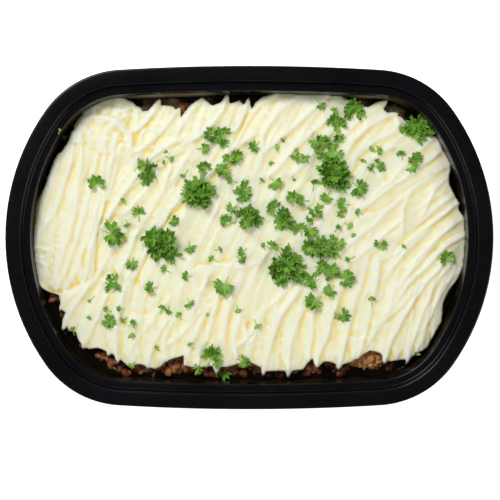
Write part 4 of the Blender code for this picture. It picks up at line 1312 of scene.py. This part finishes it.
def rim_crumbs(heap, unit, level, mean_width, potato, rng):
    """Single crumbs along the potato's edge."""
    points, tris = unit
    placed = 0
    while placed < CRUMB_RIM:
        x, y = rng.uniform(-RIM_X, RIM_X), rng.uniform(-RIM_Y, RIM_Y)
        stand = float(edge_distance(np.array(x), np.array(y)))
        depth = float(potato.at(potato.depth, x, y))
        if stand < wall_at(level) + RIM_CLEAR or not RIM_DEPTHS[0] <= depth <= RIM_DEPTHS[1]:
            continue
        sparse = y > RIM_SPARSE_Y or abs(x) > RIM_SPARSE_X
        if sparse and rng.uniform() > RIM_SPARSE:
            continue
        width = mean_width * rng.uniform(*RIM_WIDTHS)
        place = np.array((x, y, level - RIM_SINK + rng.uniform(*RIM_LIFT)))
        heap.add(crumb(points, width, rng) + place, tris, max(0.0, rng.uniform(*RIM_TINT)))
        placed += 1


def build_mince(sizes, looks):
    for name in ("mince_core", "mince_crumbs"):
        fresh(name)
    finish = mince_material(looks)
    ride_as(mince_core(finish), "mince", "mince_filling")
    level, mean_width = sizes.gravy_level / MM, sizes.crumb / MM
    rng = np.random.default_rng(CRUMB_SEED)
    unit, heap = ball(2), Heap()
    heap_crumbs(heap, unit, level, mean_width, rng)
    rim_crumbs(heap, unit, level, mean_width, Potato(sizes.ridge / MM), rng)
    ride_as(heap.piece("mince_crumbs", finish), "mince", "mince_filling")


def build_potato(sizes, looks):
    fresh("mashed_potato")
    potato = Potato(sizes.ridge / MM)
    piece = relief_piece("mashed_potato", potato, potato_material(looks), MASH_FLOOR)
    ride_as(piece, "mash", "mash_topping")


def wall_height(x, y, level):
    """Height of the inner wall over a point, or the gravy's level inside it."""
    climb = FLOOR_TOP + (WALL_FOOT - edge_distance(x, y)) / WALL_DRAFT
    return np.clip(climb, level, TRAY_BENDS[4][1])


def film_patch(x, y, long_way, short_way, level, rng):
    """One thin patch of sauce, highest in its middle and kept off the wall."""
    angle = np.linspace(0, 2 * math.pi, FILM_POINTS, endpoint=False)
    wave = np.ones(FILM_POINTS)
    for turns, size in FILM_WAVES:
        wave += size * np.sin(turns * angle + rng.uniform(0, 2 * math.pi))
    rings = [np.array([[x, y, level - FILM_SINK + FILM_RISE]])]
    for share in FILM_RINGS:
        px = x + long_way * share * wave * np.cos(angle)
        py = y + short_way * share * wave * np.sin(angle)
        pz = hills(level - FILM_SINK + FILM_RISE * (1 - share ** 2), px, py, FILM_HILLS)
        rings.append(np.stack((px, py, pz), axis=1))
    points = np.concatenate(rings)
    spare = edge_distance(points[:, 0], points[:, 1]) - wall_at(level) - FILM_CLEAR
    points[:, 1] -= np.where(spare < 0, -spare, 0) * np.sign(points[:, 1])
    count = FILM_POINTS
    faces = [(0, 1 + k, 1 + (k + 1) % count) for k in range(count)]
    for ring in range(len(FILM_RINGS) - 1):
        a, b = 1 + ring * count, 1 + (ring + 1) * count
        faces.extend((a + k, b + k, b + (k + 1) % count, a + (k + 1) % count)
                     for k in range(count))
    last = 1 + (len(FILM_RINGS) - 1) * count
    faces.append(tuple(last + k for k in reversed(range(count))))
    return points, faces


def build_films(sizes, looks):
    """Thin sauce on the gravy between the tips, and flecks stuck to the wall."""
    for name in ("sauce_film", "potato_flecks"):
        fresh(name)
    level = sizes.gravy_level / MM
    rng = np.random.default_rng(FILM_SEED)
    heap, bits = Heap(), Heap()
    for film in FILMS:
        heap.add(*film_patch(*film, level, rng), 0.0)
    ride_as(heap.piece("sauce_film", film_material(looks)), "gravy")
    points, tris = ball(2)
    for x, y, width in FLECKS:
        height = float(wall_height(np.array(x), np.array(y), level)) + FLECK_LIFT
        bits.add(crumb(points, width, rng) + np.array((x, y, height)), tris, 0.0)
    finish = bpy.data.materials.get("mashed_potato") or potato_material(looks)
    ride_as(bits.piece("potato_flecks", finish), "mash")


# ---- parsley -------------------------------------------------------------------------------

def leaflet(rng, length):
    """One curly leaflet, pleated like a fan, its base at the origin, pointing along +X."""
    pleats = int(rng.integers(*PLEATS))
    spread = rng.uniform(*LEAF_SPREAD)
    count = (LARGE_LEAF_STEPS if length > LARGE_LEAF else SMALL_LEAF_STEPS) * pleats + 1
    angle = np.linspace(-spread, spread, count)
    pleat = 0.5 + 0.5 * np.cos(2 * math.pi * pleats * (angle + spread) / (2 * spread) + math.pi)
    lobe = 0.5 + 0.5 * np.cos(LOBES * math.pi * angle / spread)
    reach = length * (LEAF_BODY + LOBE_CUT * lobe + PLEAT_CUT * pleat ** PLEAT_BEND)
    reach *= np.cos(angle * LEAF_TAPER)
    reach *= 1 + rng.uniform(-RAGGED, RAGGED, count)
    cup, depth = rng.uniform(*CUP), rng.uniform(*PLEAT_DEPTH)
    fold, phase = rng.uniform(*FOLD), rng.uniform(0, 2 * math.pi)
    points, tint = [(0.0, 0.0, 0.0)], [BASE_TINT]
    for share in LEAF_RINGS:
        x, y = share * reach * np.cos(angle), share * reach * np.sin(angle)
        ripple = RIPPLE * np.sin(RIPPLES * angle + phase)
        wave = depth * (pleat - 0.5) * share + ripple * share ** 2
        z = length * (cup * share ** 2 + wave) + fold * np.abs(y) * share
        points.extend(zip(x, y, z))
        tint.extend(INNER_TINT * (1 - share) + PLEAT_TINT * pleat * share)
    faces = [(0, 1 + k, 2 + k) for k in range(count - 1)]
    for ring in range(len(LEAF_RINGS) - 1):
        start = 1 + ring * count
        faces.extend((start + k, start + count + k, start + count + k + 1, start + k + 1)
                     for k in range(count - 1))
    return np.array(points), faces, np.array(tint)


def stalk(start, end, rng):
    """A bent stem between two points."""
    start, end = np.array(start, float), np.array(end, float)
    along = np.linspace(0, 1, STEM_ROWS)[:, None]
    bend = np.array((0, 0, rng.uniform(*STEM_BEND)))
    line = start + (end - start) * along + bend * 4 * along * (1 - along)
    way = (end - start) / (np.linalg.norm(end - start) + 1e-9)
    across = np.cross(way, (0, 0, 1.0))
    across /= np.linalg.norm(across) + 1e-9
    up = np.cross(across, way)
    sides = STEM_SIDES
    points, faces = [], []
    for spot in line:
        for k in range(sides):
            turn = 2 * math.pi * k / sides
            points.append(spot + STEM * (across * math.cos(turn) + up * math.sin(turn)))
    for ring in range(STEM_ROWS - 1):
        for k in range(sides):
            a, b = ring * sides + k, ring * sides + (k + 1) % sides
            faces.append((a, b, b + sides, a + sides))
    faces.append(tuple(reversed(range(sides))))
    faces.append(tuple(len(points) - sides + k for k in range(sides)))
    return np.array(points), faces


def thickened(points, faces):
    """A leaf blade given its thickness, with the rim closed."""
    count = len(points)
    under = points - np.array((0, 0, BLADE))
    edges = {}
    for face in faces:
        for a, b in zip(face, face[1:] + face[:1]):
            edges[(a, b)] = True
    rim = [(a, b) for a, b in edges if (b, a) not in edges]
    closed = list(faces) + [tuple(v + count for v in reversed(face)) for face in faces]
    closed += [(b, a, a + count, b + count) for a, b in rim]
    return np.concatenate((points, under)), closed


def place_leaf(points, spot, heading, tilt, roll):
    turn = Matrix.Rotation(heading, 3, "Z") @ Matrix.Rotation(-tilt, 3, "Y")
    turn = np.array(turn @ Matrix.Rotation(roll, 3, "X"))
    return points @ turn.T + np.array(spot)


def settled(points, ground):
    """Lower a piece onto what it lies on, letting its low parts drape."""
    under = ground(points[:, 0], points[:, 1])
    gap = points[:, 2] - under
    drop = np.percentile(gap, REST_SHARE) - SINK
    lowest = under + CLEARANCE + DRAPE * (gap - gap.min()) / (np.ptp(gap) + 1e-6)
    points = points.copy()
    points[:, 2] = np.maximum(points[:, 2] - drop, lowest)
    return points


def leaf_spots(rng, width, leaves):
    """Where each leaflet of a piece is rooted, which way it points and how steep it is."""
    turn = rng.uniform(0, 2 * math.pi)
    spots = []
    if leaves <= 5:
        for index in range(leaves):
            heading = turn + (index - (leaves - 1) / 2) * 0.85 + rng.uniform(-0.2, 0.2)
            back = -0.22 * width
            spots.append((back * math.cos(turn), back * math.sin(turn), 0.15 * index, heading,
                          rng.uniform(-0.05, 0.25)))
        return spots, turn
    squash, back = rng.uniform(0.6, 1.0), 0.15 * width
    for index in range(leaves):
        around = index * 2.4 + rng.uniform(-0.5, 0.5)
        away = 0.42 * width * math.sqrt((index + rng.uniform(0, 1)) / leaves)
        heading = around + turn + rng.uniform(-1.6, 1.6)
        along, across = away * math.cos(around), squash * away * math.sin(around)
        x = along * math.cos(turn) - across * math.sin(turn) - back * math.cos(heading)
        y = along * math.sin(turn) + across * math.cos(turn) - back * math.sin(heading)
        rise = 2.6 * (1 - away / (0.5 * width)) * rng.uniform(0.4, 1.0)
        spots.append((x, y, rise, heading, rng.uniform(0.0, 0.6)))
    return spots, turn


def sprig(rng, x, y, width, leaves, ground):
    """A piece of parsley: leaflets on short stems, lying on the ground."""
    small = leaves <= SMALL_SPRIG
    length = width * (LONE_LENGTH if leaves <= 1 else FEW_LENGTH if small else MANY_LENGTH)
    spots, turn = leaf_spots(rng, width, leaves)
    parts = []
    for off_x, off_y, rise, heading, tilt in spots:
        base = (x + off_x, y + off_y, rise)
        points, faces, tint = leaflet(rng, length * rng.uniform(*LEAF_SIZES))
        points = place_leaf(points, base, heading, tilt, rng.uniform(-LEAF_ROLL, LEAF_ROLL))
        parts.append((points, faces, np.clip(tint + rng.uniform(*LEAF_TINT), 0, 1)))
        if rng.uniform() < STEM_CHANCE or (small and leaves > 1):
            foot = length * (STEM_LONG if small else STEM_SHORT)
            way = turn if small else heading
            end = (base[0] - foot * math.cos(way), base[1] - foot * math.sin(way), 0.0)
            line, tube = stalk(base, end, rng)
            parts.append((line, tube, np.full(len(line), STEM_TINT)))
    every = settled(np.concatenate([part[0] for part in parts]), ground)
    laid, start = [], 0
    for points, faces, tint in parts:
        lying = every[start:start + len(points)]
        start += len(points)
        if len(faces[0]) == 3:
            lying, faces = thickened(lying, faces)
            tint = np.concatenate((tint, np.clip(tint + UNDER_TINT, 0, 1)))
        laid.append((lying, faces, tint))
    return laid


def build_clumps(sizes, looks):
    potato = Potato(sizes.ridge / MM)
    finish = parsley_material(looks)
    rng = np.random.default_rng(CLUMP_SEED)

    def ground(x, y):
        return potato.top(x, y, sizes.gravy_level / MM)

    for index, (x, y, width, leaves) in enumerate(CLUMPS):
        name = "curly_parsley_%02d" % (index + 1)
        fresh(name)
        heap = Heap()
        for part in sprig(rng, x, y, width, leaves, ground):
            heap.add(*part)
        piece = heap.piece(name, finish)
        ride_as(piece, "parsley", "parsley_clump_%02d" % (index + 1))


def build_loose_parsley(sizes, looks):
    fresh("loose_parsley")
    potato = Potato(sizes.ridge / MM)
    finish = bpy.data.materials.get("parsley") or parsley_material(looks)
    rng = np.random.default_rng(LEAF_SEED)
    heap = Heap()

    def ground(x, y):
        return potato.top(x, y, wall_height(x, y, sizes.gravy_level / MM))

    for x, y, width, leaves in LOOSE_LEAVES:
        x, y, width = SPREAD * x, SPREAD * y, LEAF_GROWTH * width
        for part in sprig(rng, x, y, width, leaves, ground):
            heap.add(*part)
    piece = heap.piece("loose_parsley", finish)
    ride_as(piece, "parsley")


# ---- floor, lights and camera ------------------------------------------------------------------

FLOOR_REACH = 2500.0
FLOOR_DROP = 0.1
# Lamps: name, place, width and power, in metres and watts.
LAMPS = (
    ("key_light", (-0.45, 0.65, 1.05), 0.6, 11.8),
    ("fill_light", (0.95, -0.45, 0.65), 0.9, 6.0),
    ("side_light", (-0.95, -0.55, 0.60), 0.9, 5.0),
)
AIR_STRENGTH = 0.12
CAMERA_SPOT = (0.0003, -0.0056, 1.040)
CAMERA_LENS, CAMERA_SENSOR, CAMERA_END = 160.0, 36.0, 10.0


def area_light(name, spot, size, power):
    fresh(name)
    lamp = bpy.data.lights.new(name, "AREA")
    lamp.shape = "DISK"
    lamp.size = size
    lamp.energy = power
    light = bpy.data.objects.new(name, lamp)
    light.location = spot
    light.rotation_euler = (-Vector(spot)).to_track_quat("-Z", "Y").to_euler()
    bpy.context.scene.collection.objects.link(light)
    return light


def build_stage(looks):
    scene = bpy.context.scene
    fresh("studio_floor")
    corners = [(across * FLOOR_REACH, along * FLOOR_REACH, -FLOOR_DROP)
               for across, along in ((-1, -1), (1, -1), (1, 1), (-1, 1))]
    plane = add_piece("studio_floor", corners, [(0, 1, 2, 3)], floor_material(looks),
                      smooth=False)
    lights = [area_light(*lamp) for lamp in LAMPS]
    world = bpy.data.worlds.get("studio") or bpy.data.worlds.new("studio")
    world.use_nodes = True
    air = world.node_tree.nodes["Background"]
    air.inputs["Color"].default_value = (1.0, 1.0, 1.0, 1.0)
    air.inputs["Strength"].default_value = AIR_STRENGTH
    scene.world = world
    fresh("camera")
    lens = bpy.data.cameras.new("camera")
    lens.lens = CAMERA_LENS
    lens.sensor_width = CAMERA_SENSOR
    lens.clip_end = CAMERA_END
    camera = bpy.data.objects.new("camera", lens)
    camera.location = CAMERA_SPOT
    scene.collection.objects.link(camera)
    scene.camera = camera
    scene.view_settings.view_transform = "Standard"


# ---- buttons ---------------------------------------------------------------------------------------

def settings(context):
    return context.scene.pie_sizes, context.scene.pie_looks


def finished(*names):
    """The button's answer, or an error when a piece was not made."""
    missing = [name for name in names if name not in bpy.context.scene.objects]
    if missing:
        raise RuntimeError("not built: " + ", ".join(missing))
    return {"FINISHED"}


class PIE_OT_tray(bpy.types.Operator):
    """Builds the plastic tray with its rounded flange, step and wall"""
    bl_idname = "pie.tray"
    bl_label = "Tray"

    def execute(self, context):
        build_tray(*settings(context))
        return finished("tray_shell")


class PIE_OT_gravy(bpy.types.Operator):
    """Builds the pool of gravy along the tray's wall"""
    bl_idname = "pie.gravy"
    bl_label = "Gravy"

    def execute(self, context):
        build_gravy(*settings(context))
        return finished("gravy_pool")


class PIE_OT_mince(bpy.types.Operator):
    """Builds the mince: a core with crumbs over it"""
    bl_idname = "pie.mince"
    bl_label = "Mince"

    def execute(self, context):
        build_mince(*settings(context))
        return finished("mince_core", "mince_crumbs")


class PIE_OT_potato(bpy.types.Operator):
    """Builds the mashed potato with its fork ridges"""
    bl_idname = "pie.potato"
    bl_label = "Mashed potato"

    def execute(self, context):
        build_potato(*settings(context))
        return finished("mashed_potato")


class PIE_OT_film(bpy.types.Operator):
    """Builds the thin sauce between the tips and the flecks on the wall"""
    bl_idname = "pie.film"
    bl_label = "Sauce film and flecks"

    def execute(self, context):
        build_films(*settings(context))
        return finished("sauce_film", "potato_flecks")


class PIE_OT_clumps(bpy.types.Operator):
    """Builds the large clumps of curly parsley"""
    bl_idname = "pie.clumps"
    bl_label = "Parsley clumps"

    def execute(self, context):
        build_clumps(*settings(context))
        return finished(*("curly_parsley_%02d" % (k + 1) for k in range(len(CLUMPS))))


class PIE_OT_loose(bpy.types.Operator):
    """Builds the small loose pieces of parsley"""
    bl_idname = "pie.loose"
    bl_label = "Loose parsley"

    def execute(self, context):
        build_loose_parsley(*settings(context))
        return finished("loose_parsley")


class PIE_OT_stage(bpy.types.Operator):
    """Builds the floor, the lights and the camera"""
    bl_idname = "pie.stage"
    bl_label = "Stage"

    def execute(self, context):
        build_stage(settings(context)[1])
        return finished("studio_floor", "camera")


class PIE_PT_panel(bpy.types.Panel):
    """Buttons for each piece of the pie"""
    bl_label = "Shepherd's Pie"
    bl_space_type = "VIEW_3D"
    bl_region_type = "UI"
    bl_category = "Pie"

    def draw(self, context):
        sizes, looks = settings(context)
        for button in BUTTONS:
            self.layout.operator(button.bl_idname)
        for group in (sizes, looks):
            for name in group.__annotations__:
                self.layout.prop(group, name)


BUTTONS = (PIE_OT_tray, PIE_OT_gravy, PIE_OT_mince, PIE_OT_potato, PIE_OT_film,
           PIE_OT_clumps, PIE_OT_loose, PIE_OT_stage)
CLASSES = (PieSizes, PieLooks, *BUTTONS, PIE_PT_panel)


def register():
    for made in CLASSES:
        bpy.utils.register_class(made)
    bpy.types.Scene.pie_sizes = bpy.props.PointerProperty(type=PieSizes)
    bpy.types.Scene.pie_looks = bpy.props.PointerProperty(type=PieLooks)


def unregister():
    del bpy.types.Scene.pie_looks
    del bpy.types.Scene.pie_sizes
    for made in reversed(CLASSES):
        bpy.utils.unregister_class(made)


def main():
    register()
    bpy.ops.pie.tray()
    bpy.ops.pie.gravy()
    bpy.ops.pie.mince()
    bpy.ops.pie.potato()
    bpy.ops.pie.film()
    bpy.ops.pie.clumps()
    bpy.ops.pie.loose()
    bpy.ops.pie.stage()


if __name__ == "__main__":
    main()
